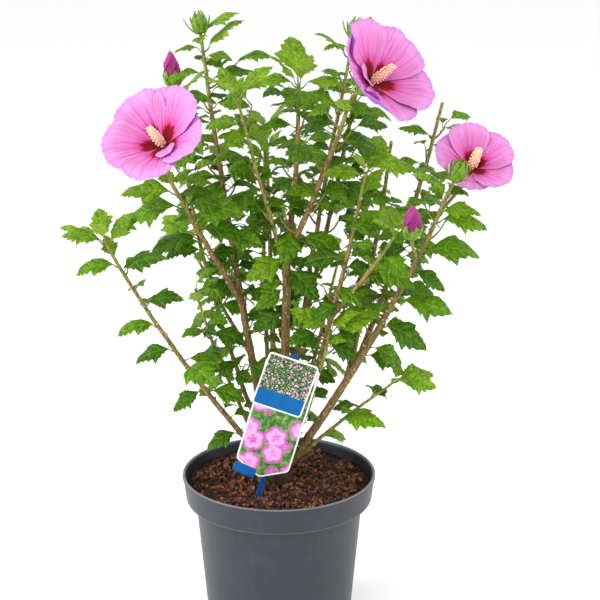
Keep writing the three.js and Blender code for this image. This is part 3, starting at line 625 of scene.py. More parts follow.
def baked(made):
    """The object with its modifiers turned into a plain mesh."""
    graph = bpy.context.evaluated_depsgraph_get()
    shaped = made.evaluated_get(graph)
    mesh = bpy.data.meshes.new_from_object(shaped, preserve_all_data_layers=True, depsgraph=graph)
    made.modifiers.clear()
    made.data = mesh
    return made


def mended(made):
    """Merges doubles and turns all faces outwards."""
    work = bmesh.new()
    work.from_mesh(made.data)
    bmesh.ops.remove_doubles(work, verts=work.verts, dist=0.01 * MM)
    bmesh.ops.recalc_face_normals(work, faces=work.faces)
    work.to_mesh(made.data)
    work.free()
    return made


def thickened(made, thickness, offset=1.0, **settings):
    """A sheet given its thickness in millimetres: outwards, or to both sides where the offset is 0."""
    shell = made.modifiers.new("thickness", "SOLIDIFY")
    shell.thickness, shell.offset = thickness * MM, offset
    for name, value in settings.items():
        setattr(shell, name, value)
    return baked(made)


def settle(made, slot, *nodes):
    """Sets a finished piece on the plant's body and hides the CAD nodes that it stands for."""
    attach(made, "root")
    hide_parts(*nodes)
    return made


def facing(base, way):
    """Takes places in a frame that stands on the base and heads this way to the plant's own."""
    turn = UP.rotation_difference(way).to_matrix()
    return lambda p: turn @ p + base


# ---- Geometry Nodes trees
def new_tree(name, sockets):
    """An empty tree whose modifier has the named inputs, with its input and output nodes."""
    tree = bpy.data.node_groups.new(name, "GeometryNodeTree")
    tree.interface.new_socket("Geometry", in_out="INPUT", socket_type="NodeSocketGeometry")
    for label, kind in sockets.items():
        tree.interface.new_socket(label, in_out="INPUT", socket_type="NodeSocket" + kind)
    tree.interface.new_socket("Geometry", in_out="OUTPUT", socket_type="NodeSocketGeometry")
    return tree, tree.nodes.new("NodeGroupInput").outputs, tree.nodes.new("NodeGroupOutput").inputs


def grown(made, tree, **values):
    """Runs a tree on an object, with its inputs set by name, and keeps the result as its plain mesh."""
    modifier = made.modifiers.new(tree.name, "NODES")
    modifier.node_group = tree
    for item in tree.interface.items_tree:
        if item.in_out == "INPUT" and item.name.replace(" ", "_") in values:
            modifier[item.identifier] = values[item.name.replace(" ", "_")]
    baked(made)
    made.data.materials.clear()
    made.data.materials.append(values["Material"])
    made.data.polygons.foreach_set("material_index", [0] * len(made.data.polygons))
    return made


def limb_tree():
    """Draws a round limb with upright bark ridges along each line of edges, as thick as its girth says."""
    sockets = {"Sides": "Int", "Ridge Size": "Float", "Relief": "Float", "Material": "Material"}
    tree, given, result = new_tree("bark_limb", sockets)
    line = add(tree, "GeometryNodeMeshToCurve", {"Mesh": given["Geometry"]})
    thick = add(tree, "GeometryNodeInputNamedAttribute", {"Name": "girth"}, data_type="FLOAT")
    ring = add(tree, "GeometryNodeCurvePrimitiveCircle", {"Resolution": given["Sides"], "Radius": 1.0})
    swept = {"Curve": line, "Profile Curve": ring, "Scale": thick, "Fill Caps": True}
    tube = add(tree, "GeometryNodeCurveToMesh", swept)
    place = add(tree, "GeometryNodeInputPosition")
    drawn = add(tree, "ShaderNodeVectorMath", [place, (1.0, 1.0, 0.22)], operation="MULTIPLY")
    scale = add(tree, "ShaderNodeMath", [1.0, given["Ridge Size"]], operation="DIVIDE")
    ridges = add(tree, "ShaderNodeTexNoise", {"Vector": drawn, "Scale": scale, "Detail": 3.0})
    centred = add(tree, "ShaderNodeMath", [ridges, 0.5], operation="SUBTRACT")
    deep = add(tree, "ShaderNodeMath", [centred, given["Relief"]], operation="MULTIPLY")
    deep = add(tree, "ShaderNodeMath", [deep, thick], operation="MULTIPLY")
    out = add(tree, "GeometryNodeInputNormal")
    lift = add(tree, "ShaderNodeVectorMath", {0: out, "Scale": deep}, operation="SCALE")
    tube = add(tree, "GeometryNodeSetPosition", {"Geometry": tube, "Offset": lift})
    tube = add(tree, "GeometryNodeSetShadeSmooth", {"Geometry": tube})
    made = add(tree, "GeometryNodeSetMaterial", {"Geometry": tube, "Material": given["Material"]})
    tree.links.new(made, result[0])
    return tree


def stood_shapes(tree, given, result, points, pick, angles, size):
    """Ends a tree: one of the collection's shapes stands on each point, made real and in its material."""
    sorts = {"Collection": given["Shapes"], "Separate Children": True, "Reset Children": True}
    shapes = add(tree, "GeometryNodeCollectionInfo", sorts)
    stood = {"Points": points, "Instance": shapes, "Pick Instance": True, "Instance Index": pick,
             "Rotation": angles, "Scale": size}
    stood = add(tree, "GeometryNodeInstanceOnPoints", stood)
    real = add(tree, "GeometryNodeRealizeInstances", {"Geometry": stood})
    made = add(tree, "GeometryNodeSetMaterial", {"Geometry": real, "Material": given["Material"]})
    tree.links.new(made, result[0])
    return tree


def dealt_tree():
    """Stands a collection's shapes on points: kind says which, turned its Euler angles, size its scale."""
    tree, given, result = new_tree("dealt_shapes", {"Shapes": "Collection", "Material": "Material"})
    named = {}
    for label, sort in (("kind", "INT"), ("turned", "FLOAT_VECTOR"), ("size", "FLOAT")):
        named[label] = add(tree, "GeometryNodeInputNamedAttribute", {"Name": label}, data_type=sort)
    points = add(tree, "GeometryNodeMeshToPoints", {"Mesh": given["Geometry"]})
    angles = add(tree, "FunctionNodeEulerToRotation", [named["turned"]])
    return stood_shapes(tree, given, result, points, named["kind"], angles, named["size"])


def strewn_tree():
    """Strews a collection's shapes over a surface, so many to the square metre, with a seed of their own."""
    sockets = {"Shapes": "Collection", "Sorts": "Int", "Per Square Metre": "Float", "Smallest": "Float",
               "Largest": "Float", "Tumble": "Float", "Seed": "Int", "Material": "Material"}
    tree, given, result = new_tree("strewn_shapes", sockets)
    seed = {"Seed": given["Seed"]}
    spread = {"Mesh": given["Geometry"], "Density": given["Per Square Metre"], **seed}
    points = add(tree, "GeometryNodeDistributePointsOnFaces", spread, distribute_method="RANDOM")
    most = add(tree, "ShaderNodeMath", [given["Sorts"], 1.0], operation="SUBTRACT")
    pick = add(tree, "FunctionNodeRandomValue", {5: most, **seed}, data_type="INT", out=2)
    span = add(tree, "ShaderNodeCombineXYZ", [given["Tumble"], given["Tumble"], math.tau])
    back = add(tree, "ShaderNodeVectorMath", {0: span, "Scale": -1.0}, operation="SCALE")
    turned = add(tree, "FunctionNodeRandomValue", {0: back, 1: span, **seed}, data_type="FLOAT_VECTOR")
    angles = add(tree, "FunctionNodeEulerToRotation", [turned])
    sizes = {2: given["Smallest"], 3: given["Largest"], **seed}
    size = add(tree, "FunctionNodeRandomValue", sizes, data_type="FLOAT", out=1)
    return stood_shapes(tree, given, result, points, pick, angles, size)


def shape_set(shape, count):
    """Template objects of one maker, each with its own number, in a collection out of the scene."""
    held = bpy.data.collections.new(shape.__name__)
    for number in range(count):
        made = shape("%s_%02d" % (shape.__name__, number), number)
        bpy.context.scene.collection.objects.unlink(made)
        held.objects.link(made)
    return held


def cleared(held):
    for shape in list(held.objects):
        bpy.data.objects.remove(shape)
    bpy.data.collections.remove(held)


def dealt(name, finish, stands, held):
    """A piece of many shapes: stands holds (place in mm, kind, Euler angles, size in m) for each."""
    places, kinds, turns, sizes = [list(column) for column in zip(*stands)]
    made = new_object(name, (places, []), finish)
    flat = [angle for turned in turns for angle in turned]
    for label, sort, field, values in (("kind", "INT", "value", kinds), ("size", "FLOAT", "value", sizes),
                                       ("turned", "FLOAT_VECTOR", "vector", flat)):
        made.data.attributes.new(label, sort, "POINT").data.foreach_set(field, values)
    return grown(made, DEALT, Shapes=held, Material=FINISH[finish])


LIMB, DEALT, STREWN = limb_tree(), dealt_tree(), strewn_tree()


# ---- pot
def lathe(profile, sides):
    """The surface of a profile of (radius, height) turned round the axis; on the axis it ends in a point."""
    points, faces, charts = [], [], []
    rows = []
    for k, (radius, height) in enumerate(profile):
        row = []
        for j in range(sides if radius > 1e-6 else 1):
            turn = math.tau * j / sides
            row.append(len(points))
            points.append(Vector((radius * math.cos(turn), radius * math.sin(turn), height)))
            charts.append((j / sides, k / len(profile)))
        rows.append(row)
    for low, high in zip(rows, rows[1:]):
        for j in range(sides):
            below = [low[j % len(low)], low[(j + 1) % len(low)]]
            above = [high[(j + 1) % len(high)], high[j % len(high)]]
            faces.append(tuple(dict.fromkeys(below + above)))
    return points, faces, charts


def eased(corners, steps=4):
    """A profile whose corners, each (radius, height, easing), are rounded by that much."""
    profile = []
    for k, (x, z, ease) in enumerate(corners):
        here = Vector((x, z))
        if ease == 0 or k in (0, len(corners) - 1):
            profile.append((x, z))
            continue
        before = Vector(corners[k - 1][:2]) - here
        after = Vector(corners[k + 1][:2]) - here
        start = here + before.normalized() * min(ease, before.length * 0.45)
        end = here + after.normalized() * min(ease, after.length * 0.45)
        for i in range(steps + 1):
            t = i / steps
            spot = start * (1 - t) ** 2 + here * 2 * t * (1 - t) + end * t * t
            profile.append((spot.x, spot.y))
    return profile


def make_pot():
    height, rim, shoulder, foot = POT["height"], POT["rim"], POT["shoulder"], POT["foot"]
    wall, lip = POT["wall"], POT["lip"]
    corners = [
        (0, 0, 0), (foot - 2, 0, 0.4), (foot, 2, 1.6), (shoulder - 0.5, SEAT - 3, 1), (shoulder, SEAT, 1.4),
        (rim - 4.6, SEAT, 1.6), (rim - 3.4, SEAT + 2.4, 1.2), (rim - 0.9, height - 3.6, 0.8),
        (rim, height - 3.2, 0.5), (rim, height - 0.2, 1.4), (rim - 2.4, height, 1.2),
        (rim - lip, height - 2.4, 1.4), (BORE, SEAT + 1, 1.2), (shoulder - wall, SEAT - 4, 1.2),
        (foot - wall, 2.6, 1), (0, 2.6, 0),
    ]
    made = mended(new_object("pot_shell", lathe(eased(corners), 144)[:2], "pot"))
    hole = lathe([(0, -4), (DRAIN["radius"], -4), (DRAIN["radius"], 6), (0, 6)], 28)
    spots = [toward(360 / DRAIN["count"] * (i + 0.5)) * DRAIN["ring"] for i in range(DRAIN["count"])]
    holes = joined([moved(hole, lambda p: p + spot) for spot in spots])
    cutter = mended(new_object("drain_cutter", holes[:2], "pot"))
    bore = made.modifiers.new("drain", "BOOLEAN")
    bore.object, bore.solver = cutter, "EXACT"
    baked(made)
    bpy.data.objects.remove(cutter)
    made.data.set_sharp_from_angle(angle=math.radians(38))
    return settle(made, "pot", "pot")


# ---- soil
def soil_height(x, y):
    """The soil's top, a little hollow towards the rim and lumpy."""
    r = math.hypot(x, y) / POT["rim"]
    lumps = noise.fractal(Vector((x / 26, y / 26, 3.1)), 1.0, 2.0, 4)
    return SOIL_TOP - 0.7 - 1.4 * r * r + 1.3 * lumps


def make_soil():
    """The potting mix: a bed that fills the pot, under loose crumbs of peat and flakes of bark."""
    reach, rings = BORE + 0.9, 44
    side = [(0, 3.0), (POT["foot"] - POT["wall"] - 0.6, 3.0), (POT["shoulder"] - POT["wall"] - 0.6, SEAT - 4),
            (BORE - 0.7, SEAT + 1), (reach, SOIL_TOP - 3)]
    top = [(reach * (1 - k / rings), SOIL_TOP) for k in range(rings + 1)]
    points, faces, _ = lathe(side + top, 120)
    for p in points:
        if p.z > SOIL_TOP - 0.01:
            p.z = soil_height(p.x, p.y)
    settle(mended(new_object("soil_bed", (points, faces), "soil")), "soil", "soil")
    strew("peat_crumbs", crumb, "crumb", BORE - 1.5, Per_Square_Metre=110000.0, Smallest=1.4 * MM,
          Largest=4.6 * MM, Tumble=math.pi, Seed=11)
    strew("bark_chips", chip, "chip", BORE - 6, Per_Square_Metre=21000.0, Smallest=4 * MM,
          Largest=13 * MM, Tumble=1.2, Seed=23)


def strew(name, shape, finish, reach, **values):
    """Strews six sorts of a shape over the soil, out to a distance from the pot's axis."""
    sorts, hollow = 6, 2

    def top(s, t):
        spot = toward(360 * t) * (hollow + (reach - hollow) * s)
        return Vector((spot.x, spot.y, soil_height(spot.x, spot.y)))

    cover = woven(40, 96, top, closed=True)
    shapes = shape_set(shape, sorts)
    made = new_object(name, cover[:2], finish)
    grown(made, STREWN, Shapes=shapes, Sorts=sorts, Material=FINISH[finish], **values)
    settle(made, "soil", "soil")
    cleared(shapes)


def crumb(name, seed):
    """A crumb of peat about 1 m across, to be scaled down: an uneven lump of 20 faces."""
    work = bmesh.new()
    bmesh.ops.create_icosphere(work, subdivisions=1, radius=0.55)
    for v in work.verts:
        v.co *= 1 + 0.42 * noise.noise(v.co * 2.3 + Vector((seed * 7.7, 0, 0)))
        v.co.z *= 0.75
    return from_bmesh(name, work)


def chip(name, seed):
    """A flake of pine bark about 1 m long, to be scaled down: a ragged slab, thin at one end."""
    random = seeded(500 + seed)
    sides = 9
    ragged = [(0.62 + 0.3 * random()) for _ in range(sides)]
    points = []
    for level, inset in ((-0.5, 0.86), (0.1, 1.0), (0.5, 0.8)):
        for j in range(sides):
            turn = math.tau * j / sides
            x = 0.78 * ragged[j] * inset * math.cos(turn)
            y = (0.3 + 0.16 * (seed % 3)) * ragged[j] * inset * math.sin(turn)
            thick = 0.17 * (1 - 0.5 * x) + 0.05 * random()
            points.append(Vector((x, y, level * thick + 0.12 * x * x)) / MM)
    caps = [tuple(reversed(range(sides))), tuple(range(2 * sides, 3 * sides))]
    return new_object(name, (points, caps + bands(3, sides)), smooth_shaded=False)


# ---- leaves
# Half a blade, as shares of its length: the notches of its margin, from stalk to tip, and the teeth between
NOTCHES = [(0.0, 0.012), (0.12, 0.1), (0.24, 0.205), (0.36, 0.285), (0.53, 0.225), (0.68, 0.172),
           (0.81, 0.115), (0.905, 0.058), (1.0, 0.0)]
TEETH = [None, (0.23, 0.22), (0.35, 0.325), (0.5, 0.372), (0.65, 0.235), (0.79, 0.162), (0.895, 0.09), None]
MIDRIB = [0.0, 0.045, 0.13, 0.22, 0.34, 0.48, 0.62, 0.78, 1.0]
DROPS = (-4, 22)  # degrees from the stalk down to the blade
CURLS = (12, 33, 56)  # degrees that the blade arches over from its widest place to its tip
CUTS = 3  # outlines
STALK = ((0.0, 0.026), (0.55, 0.02), (1.06, 0.016))  # shares of the stalk's length, and its radius there


def leaf_shape(name, number):
    """One leaf of length 1, with its stalk's root at the origin and its blade heading along +X. Its number
    says which drop, curl and outline it has."""
    random = seeded(90 + 13 * number)
    drop = math.radians(DROPS[number // (len(CURLS) * CUTS)])
    curl = math.radians(CURLS[number // CUTS % len(CURLS)])
    bend, dip = 1.2 * curl, 0.08 * curl
    root = Vector((math.cos(drop), 0, math.sin(drop))) * LEAF["petiole"]
    points, charts, faces = [], [], []

    def jitter():
        return (random() - 0.5) * 0.035

    def point(u, v, lift):
        """Adds a point of the blade, u along it, v aside and lifted off it, and gives its number."""
        lean = dip - bend * u
        run = (math.sin(dip) - math.sin(lean)) / bend
        rise = (math.cos(lean) - math.cos(dip)) / bend
        out = Vector((-math.sin(lean), 0, math.cos(lean)))
        points.append(root + Vector((run, 0, rise)) + Vector((0, v, 0)) + out * lift)
        charts.append((u, 0.5 + v))
        return len(points) - 1

    fold = 0.22 + 0.14 * random()
    ribs = [point(u, 0.0, -0.006 if 0 < u < 1 else 0) for u in MIDRIB]
    for side in (1, -1):
        wave = random() * math.tau
        ripple = 0.03 + 0.024 * random()

        def lift_at(u, v):
            droop = fold * abs(v) - 0.95 * v * v
            return droop + ripple * math.sin(9 * u + wave) * min(1.0, abs(v) * 4)

        edge, middle = [], []
        for k, (u, v) in enumerate(NOTCHES[:-1]):
            v = max(0.012, v + (jitter() if k > 1 else 0))
            edge.append(point(u, side * v, lift_at(u, v)))
            mu, mv = (MIDRIB[k] * 0.45 + u * 0.55), v * 0.52
            middle.append(point(mu, side * mv, lift_at(mu, mv) + (0.014 if k % 2 else 0.004)))
        edge.append(ribs[-1])
        middle.append(ribs[-1])
        for k, tooth in enumerate(TEETH):
            patches = [[ribs[k], ribs[k + 1], middle[k + 1], middle[k]],
                       [middle[k], middle[k + 1], edge[k + 1], edge[k]]]
            if tooth:
                u, v = tooth[0] + jitter(), tooth[1] + jitter()
                patches.append([edge[k], edge[k + 1], point(u, side * v, lift_at(u, v) - 0.02)])
            for corners in patches:
                corners = list(dict.fromkeys(corners))
                faces.append(tuple(corners if side > 0 else reversed(corners)))
    first = len(points)
    for share, thick in STALK:
        sag = Vector((0, 0, -0.03 * math.sin(math.pi * min(1, share))))
        for j in range(3):
            turn = math.tau * j / 3 + math.pi / 6
            points.append(root * share + sag + Vector((0, math.cos(turn), math.sin(turn))) * thick)
            charts.append((0.5, 0.5))
    faces += bands(len(STALK), 3, first=first)
    return new_object(name, ([p / MM for p in points], faces, charts))


def nearest(choices, wanted):
    return min(range(len(choices)), key=lambda k: abs(choices[k] - wanted))


def stood_leaf(leaf, pick):
    """Which leaf shape fits a leaf's bends, and how it stands: (place, kind, Euler angles, size in m)."""
    drop = nearest(DROPS, leaf.rise - leaf.bend[0])
    curl = nearest(CURLS, leaf.bend[0] - leaf.bend[1])
    kind = (drop * len(CURLS) + curl) * CUTS + int(pick * CUTS) % CUTS
    angles = (math.radians(leaf.roll), -math.radians(leaf.bend[0]), math.radians(leaf.turn))
    return leaf.root, kind, angles, leaf.size * MM


# How far the points of a leaf keep from the points of each thing
CLEAR = {"stem": 4.2, "bloom": 6.0, "bud": 14.0, "side_bud": 12.0, "label": 8.0, "gap": 9.0, "limb": 5.5}


class Room:
    """Which places in the plant are taken: points kept by cell, to keep leaves clear of each other."""

    CELL = 16.0

    def __init__(self):
        self.cells = defaultdict(list)

    def cell(self, p):
        return tuple(int(math.floor(c / self.CELL)) for c in p)

    def take(self, points, gap):
        for p in points:
            self.cells[self.cell(p)].append((Vector(p), gap))

    def free(self, points):
        for p in points:
            x, y, z = self.cell(p)
            for i in (x - 1, x, x + 1):
                for j in (y - 1, y, y + 1):
                    for k in (z - 1, z, z + 1):
                        for q, gap in self.cells.get((i, j, k), ()):
                            if (p - q).length_squared < gap * gap:
                                return False
        return True


def blade_points(leaf):
    """Points over a leaf's blade, from near its stalk to near its tip."""
    start = leaf.root + toward(leaf.turn, leaf.rise) * (leaf.size * LEAF["petiole"])
    middle = start + toward(leaf.turn, leaf.bend[0]) * (leaf.size * 0.42)
    tip = middle + toward(leaf.turn, leaf.bend[1]) * (leaf.size * 0.55)
    across = toward(leaf.turn + 90, leaf.roll) * (leaf.size * 0.3)
    return [start.lerp(middle, 0.5), middle, middle + across, middle - across, middle.lerp(tip, 0.55), tip]


def inside_reach(leaf, low, high):
    tip = blade_points(leaf)[-1]
    return all(low[k] < tip[k] * MM < high[k] for k in range(3))


# ---- blooms
def cup(bloom, share):
    """How high a bloom has risen from its throat, at a share of its petals' length."""
    return bloom.radius * 0.58 * (0.75 * share**1.15 + 0.25 * (1 - (1 - share) ** 1.7))


def petal_place(bloom, index, share, x):
    """A place on a petal in the bloom's own frame, x from -0.5 to 0.5 across it: as in CAD, but ruffled."""
    turn = math.radians(bloom.spin + 360 / PETALS * index)
    phase = 2.1 * index + bloom.spin
    rounding = 0.36 * 4 * x * x * (share - 0.55) if share > 0.55 else 0
    rim = smooth(share, 0.6, 1)
    teeth = 0.015 * abs(math.sin(33 * x + phase)) + 0.009 * abs(math.sin(71 * x + 2 * phase))
    r = bloom.radius * (share * 1.025 - rounding - teeth * rim**3)
    angle = turn - x * math.radians(82 + 17 * math.sin(math.pi * min(1, share * 1.05)))
    over = -2.1 if x < 0 and index == OUTER.get(bloom.name) else 1
    lap = bloom.radius * 0.036 * x * 2 * over * smooth(share, 0, 0.75)
    calm = 1 - 2.4 * x * x
    ripples = 0.026 * math.sin(10 * x + phase) + 0.016 * math.sin(23 * x + 1.7 * phase)
    wave = bloom.radius * ripples * rim * calm
    crease = (0.3 * math.sin(37 * x + phase) + 0.16 * math.sin(71 * x)) * smooth(share, 0.15, 0.45)
    droop = -bloom.radius * 0.06 * smooth(share, 0.75, 1)
    if bloom.name in ROLLED_UP:
        towards = smooth(math.cos(angle - math.radians(ROLLED_UP[bloom.name])), 0.15, 0.85)
        droop += bloom.radius * 0.2 * towards * smooth(share, 0.66, 1)
        r += bloom.radius * 0.15 * towards * smooth(share, 0.3, 0.85)
    rise = cup(bloom, share) + lap + wave + crease + droop
    return Vector((r * math.cos(angle), r * math.sin(angle), rise))


def bloom_frame(bloom):
    return facing(polar(bloom.lean, bloom.reach, bloom.height), toward(*bloom.faces))


def petal_points(bloom):
    """Points over a bloom's petals, for keeping leaves clear of them."""
    place = bloom_frame(bloom)
    spots = [(share, x) for share in (0.25, 0.45, 0.65, 0.82, 0.98) for x in (-0.4, -0.2, 0, 0.2, 0.4)]
    return [place(petal_place(bloom, i, share, x)) for i in range(PETALS) for share, x in spots]


def make_petals(bloom, place):
    """Five petals that overlap, with the small inner lobe of the blooms that have one."""
    sheets = []
    for i in range(PETALS):
        sheet = woven(28, 84, lambda s, t: petal_place(bloom, i, 0.06 + 0.94 * s, t - 0.5))
        sheets.append(moved(sheet, place))
    if bloom.name in LOBES:
        turned, reach, wide = LOBES[bloom.name]

        def lobe(s, t):
            x = t - 0.5
            share = 0.1 + (reach - 0.1) * s * (1 - 1.1 * x * x * s)
            lift = cup(bloom, share) + 3.6 * smooth(s, 0, 0.6) + 5 * x * x * s + 0.5 * math.sin(19 * x) * s
            return place(toward(turned - wide * x) * bloom.radius * share + UP * lift)

        points, faces, charts = woven(14, 24, lobe)
        sheets.append((points, faces, [(0.2 + 0.6 * u, 0.5 + 0.4 * v) for u, v in charts]))
    made = new_object("petals_" + bloom.name, joined(sheets), ["petal", "petal_back"])
    thickened(made, 0.4, 0.0, material_offset=1, material_offset_rim=0)
    settle(made, "petal", "bloom_" + bloom.name)


def column_radius(s):
    return COLUMN["radius"] * (0.62 + 0.16 * math.sin(math.pi * s) - 0.3 * s * s)


def column_rise(s):
    return UP * (-2 + (COLUMN["length"] - 1) * s)


def make_column(bloom, place):
    """The stamen column with its anthers, which stand out from it and close over its tip."""
    def skin(s, t):
        narrowed = 0.05 if s in (0.0, 1.0) else 1.0 if s < 0.97 else 0.3
        return place(toward(360 * t) * (column_radius(s) * narrowed) + column_rise(s))

    column = mended(new_object("stamen_column_" + bloom.name, woven(26, 16, skin, closed=True), "column"))
    settle(column, "petal", "bloom_" + bloom.name)
    turn = UP.rotation_difference(toward(*bloom.faces)).to_matrix()
    random = seeded(300 + len(bloom.name))
    stands = []
    for k in range(COLUMN["anthers"]):
        s = 0.22 + 0.76 * (k / COLUMN["anthers"]) ** 0.9
        spot = toward(GOLDEN_TURN * k, 0)
        out = turn @ (spot + UP * (0.15 + 1.1 * smooth(s, 0.75, 1))).normalized()
        at = place(spot * (column_radius(s) * 0.8) + column_rise(s))
        angles = UP.rotation_difference(out).to_euler()
        stands.append((at, k % 2, angles, (1.9 + 0.7 * random()) * MM))
    settle(dealt("anthers_" + bloom.name, "anther", stands, ANTHERS), "petal", "bloom_" + bloom.name)


def make_calyx(bloom, place):
    """The five-pointed cup behind the petals, and the narrow bracts below it."""
    def cup_at(s, t):
        lobe = 0.5 + 0.5 * math.cos(PETALS * math.tau * t)
        reach = s * (1.0 if s < 0.6 else 1 - 0.45 * (1 - lobe) * (s - 0.6) / 0.4)
        radius = 2.2 + (CALYX_RADIUS - 1.6) * min(1, reach * 1.25) ** 0.6
        return place(toward(360 * t + bloom.spin) * radius + UP * (reach * 20 - 16))

    made = new_object("calyx_" + bloom.name, woven(14, 60, cup_at, closed=True), "sepal")
    settle(thickened(made, 0.6), "leaf", "bloom_" + bloom.name)
    below = facing(place(UP * -15.5), toward(*bloom.faces))
    bracts = [bract(below, 360 / BLOOM_BRACTS * i, 2.5, 13, 46) for i in range(BLOOM_BRACTS)]
    leafy_shell("bloom_bracts_" + bloom.name, bracts, "bloom_" + bloom.name)


def anther_shape(name, seed):
    """An anther of size 1 on its thread, which starts at the origin and heads along +Z."""
    random = seeded(700 + seed)
    knob = woven(5, 7, lambda s, t: toward(360 * t) * (0.36 * math.sin(math.pi * s) + 0.002)
                 + UP * (0.78 - 0.26 * math.cos(math.pi * s) + 0.1 * math.cos(2 * math.tau * t)), closed=True)
    thread = woven(1, 3, lambda s, t: toward(360 * t) * 0.09 + UP * (0.75 * s - 0.2), closed=True)
    lean = Vector((0.2 * random(), 0.2 * random(), 0))
    return new_object(name, moved(joined([knob, thread]), lambda p: (p + lean * p.z) / MM))


# ---- buds
def sepal(place, turn, length, radius, gape):
    """One pointed sepal of a bud, hollow like a spoon, its left edge under its neighbour's right one."""
    def blade(s, t):
        x = t - 0.5
        half = 0.72 * math.sin(math.pi * min(0.985, 0.3 + 0.7 * s)) ** 0.75
        belly = math.sin(math.pi * (0.13 + 0.8 * s)) ** 0.62
        pinch = 0.9 * (1 - abs(2 * x)) * s * s * (gape < 1)
        r = radius * belly * (1 - 0.2 * s) + 0.5 * x + gape * s * s - pinch
        keel = 0.7 * math.exp(-(x * 8) ** 2) + 0.25 * math.cos(2 * math.pi * x)
        rise = length * s - 1 - 0.6 * abs(x)
        return place(toward(turn + math.degrees(2 * x * half)) * (r + keel) + UP * rise)

    return woven(12, 10, blade)


def bract(place, turn, start, length, splay):
    """A narrow bract that leaves the bud's foot and curves back up."""
    def blade(s, t):
        lean = math.radians(splay * (1 - 0.6 * s))
        out = start + length * (math.sin(math.radians(splay)) * s - 0.25 * s * s)
        width = 1.5 * math.sin(math.pi * min(0.98, 0.2 + 0.8 * s)) ** 0.7 + 0.05
        side = toward(turn + 90) * ((t - 0.5) * 2 * width)
        fold = abs(t - 0.5) * 1.1
        rise = length * s * math.cos(lean) * 0.92 + fold - 1
        return place(toward(turn) * (out - fold * 0.3) + side + UP * rise)

    return woven(8, 2, blade)


def leafy_shell(name, blades, node):
    """Sepals and bracts as one piece, half a millimetre thick."""
    settle(thickened(new_object(name, joined(blades), "sepal"), 0.5), "leaf", node)


def make_bud(name, kind, base, way, node):
    """A bud: its rolled petals or its green heart, five sepals round it, and the narrow bracts below."""
    place = facing(base, way)
    sizes = BUD[kind]
    length, radius = sizes["length"], sizes["radius"]

    def furled(s, t):
        """Petals rolled round each other like a furled umbrella, crumpled where they fold."""
        fold = ((t * PETALS) % 1.0) ** 1.5
        belly = math.sin(math.pi * min(0.999, 0.12 + 0.87 * s**1.1)) ** 0.75
        crumple = 0.3 * math.sin(23 * s + 31 * t) + 0.22 * math.sin(51 * s - 44 * t)
        r = radius * (0.92 + 0.26 * fold) * belly * (1 - 0.3 * s) + 1.3 * crumple * belly
        return place(toward(360 * t + 170 * s) * (max(0, r) + 0.02) + UP * (length * s - 1))

    def closed_heart(s, t):
        r = 0.86 * radius * math.sin(math.pi * s) ** 0.8 + 0.01
        return place(toward(360 * t) * r + UP * (0.86 * length * s))

    if kind == "petal_bud":
        settle(new_object("bud_" + name, woven(30, 80, furled, closed=True), "rolled"), "petal", node)
        cover, gape = 0.5 * length, 2.6
    else:
        settle(new_object("bud_" + name, woven(8, 14, closed_heart, closed=True), "sepal"), "leaf", node)
        cover, gape = length, 0.3
    blades = [sepal(place, 360 / PETALS * i, cover, radius * 1.02, gape) for i in range(PETALS)]
    for i in range(sizes["bracts"]):
        turn, splay = 360 / sizes["bracts"] * i + 20, 44 + 20 * (i % 2)
        blades.append(bract(place, turn, radius * 0.45, sizes["bract"], splay))
    leafy_shell("bracts_" + name, blades, node)


# ---- limbs
class Lines:
    """Lines of edges with a girth and an age at each point, for the limb tree."""

    def __init__(self):
        self.points, self.edges, self.girths, self.ages = [], [], [], []

    def draw(self, place, steps, girth_at, age_at):
        start = len(self.points)
        for i in range(steps + 1):
            share = i / steps
            self.points.append(place(share))
            self.girths.append(girth_at(share) * MM)
            self.ages.append(age_at(share))
            if i:
                self.edges.append((start + i - 1, start + i))

    def grow(self, name, sides, ridge, relief):
        mesh = bpy.data.meshes.new(name)
        mesh.from_pydata([p * MM for p in self.points], self.edges, [])
        for label, values in (("girth", self.girths), ("age", self.ages)):
            mesh.attributes.new(label, "FLOAT", "POINT").data.foreach_set("value", values)
        values = {"Sides": sides, "Ridge_Size": ridge * MM, "Relief": relief, "Material": FINISH["bark"]}
        return grown(placed(name, mesh), LIMB, **values)


def curve_between(start, start_way, end, end_way):
    """A smooth path from one place and heading to another."""
    reach = (end - start).length / 2.6
    a, b, c, d = start, start + start_way * reach, end - end_way * reach, end

    def place(share):
        t = 1 - share
        return a * t**3 + b * 3 * share * t * t + c * 3 * share * share * t + d * share**3

    return place


def growth_path(stem):
    """The stem's axis with the slight kinks that it makes from leaf to leaf."""
    def place(share):
        spot = heart(stem, share)
        ease = smooth(share, 0, 0.1) * smooth(1 - share, 0, 0.06)
        sway = noise.noise_vector(spot / 34 + Vector((stem.lean, 0, 0)))
        return spot + Vector((sway.x, sway.y, 0)) * (1.1 * ease)

    return place


old_wood, new_wood = Lines(), Lines()
scale_buds, pale_ends = [], []


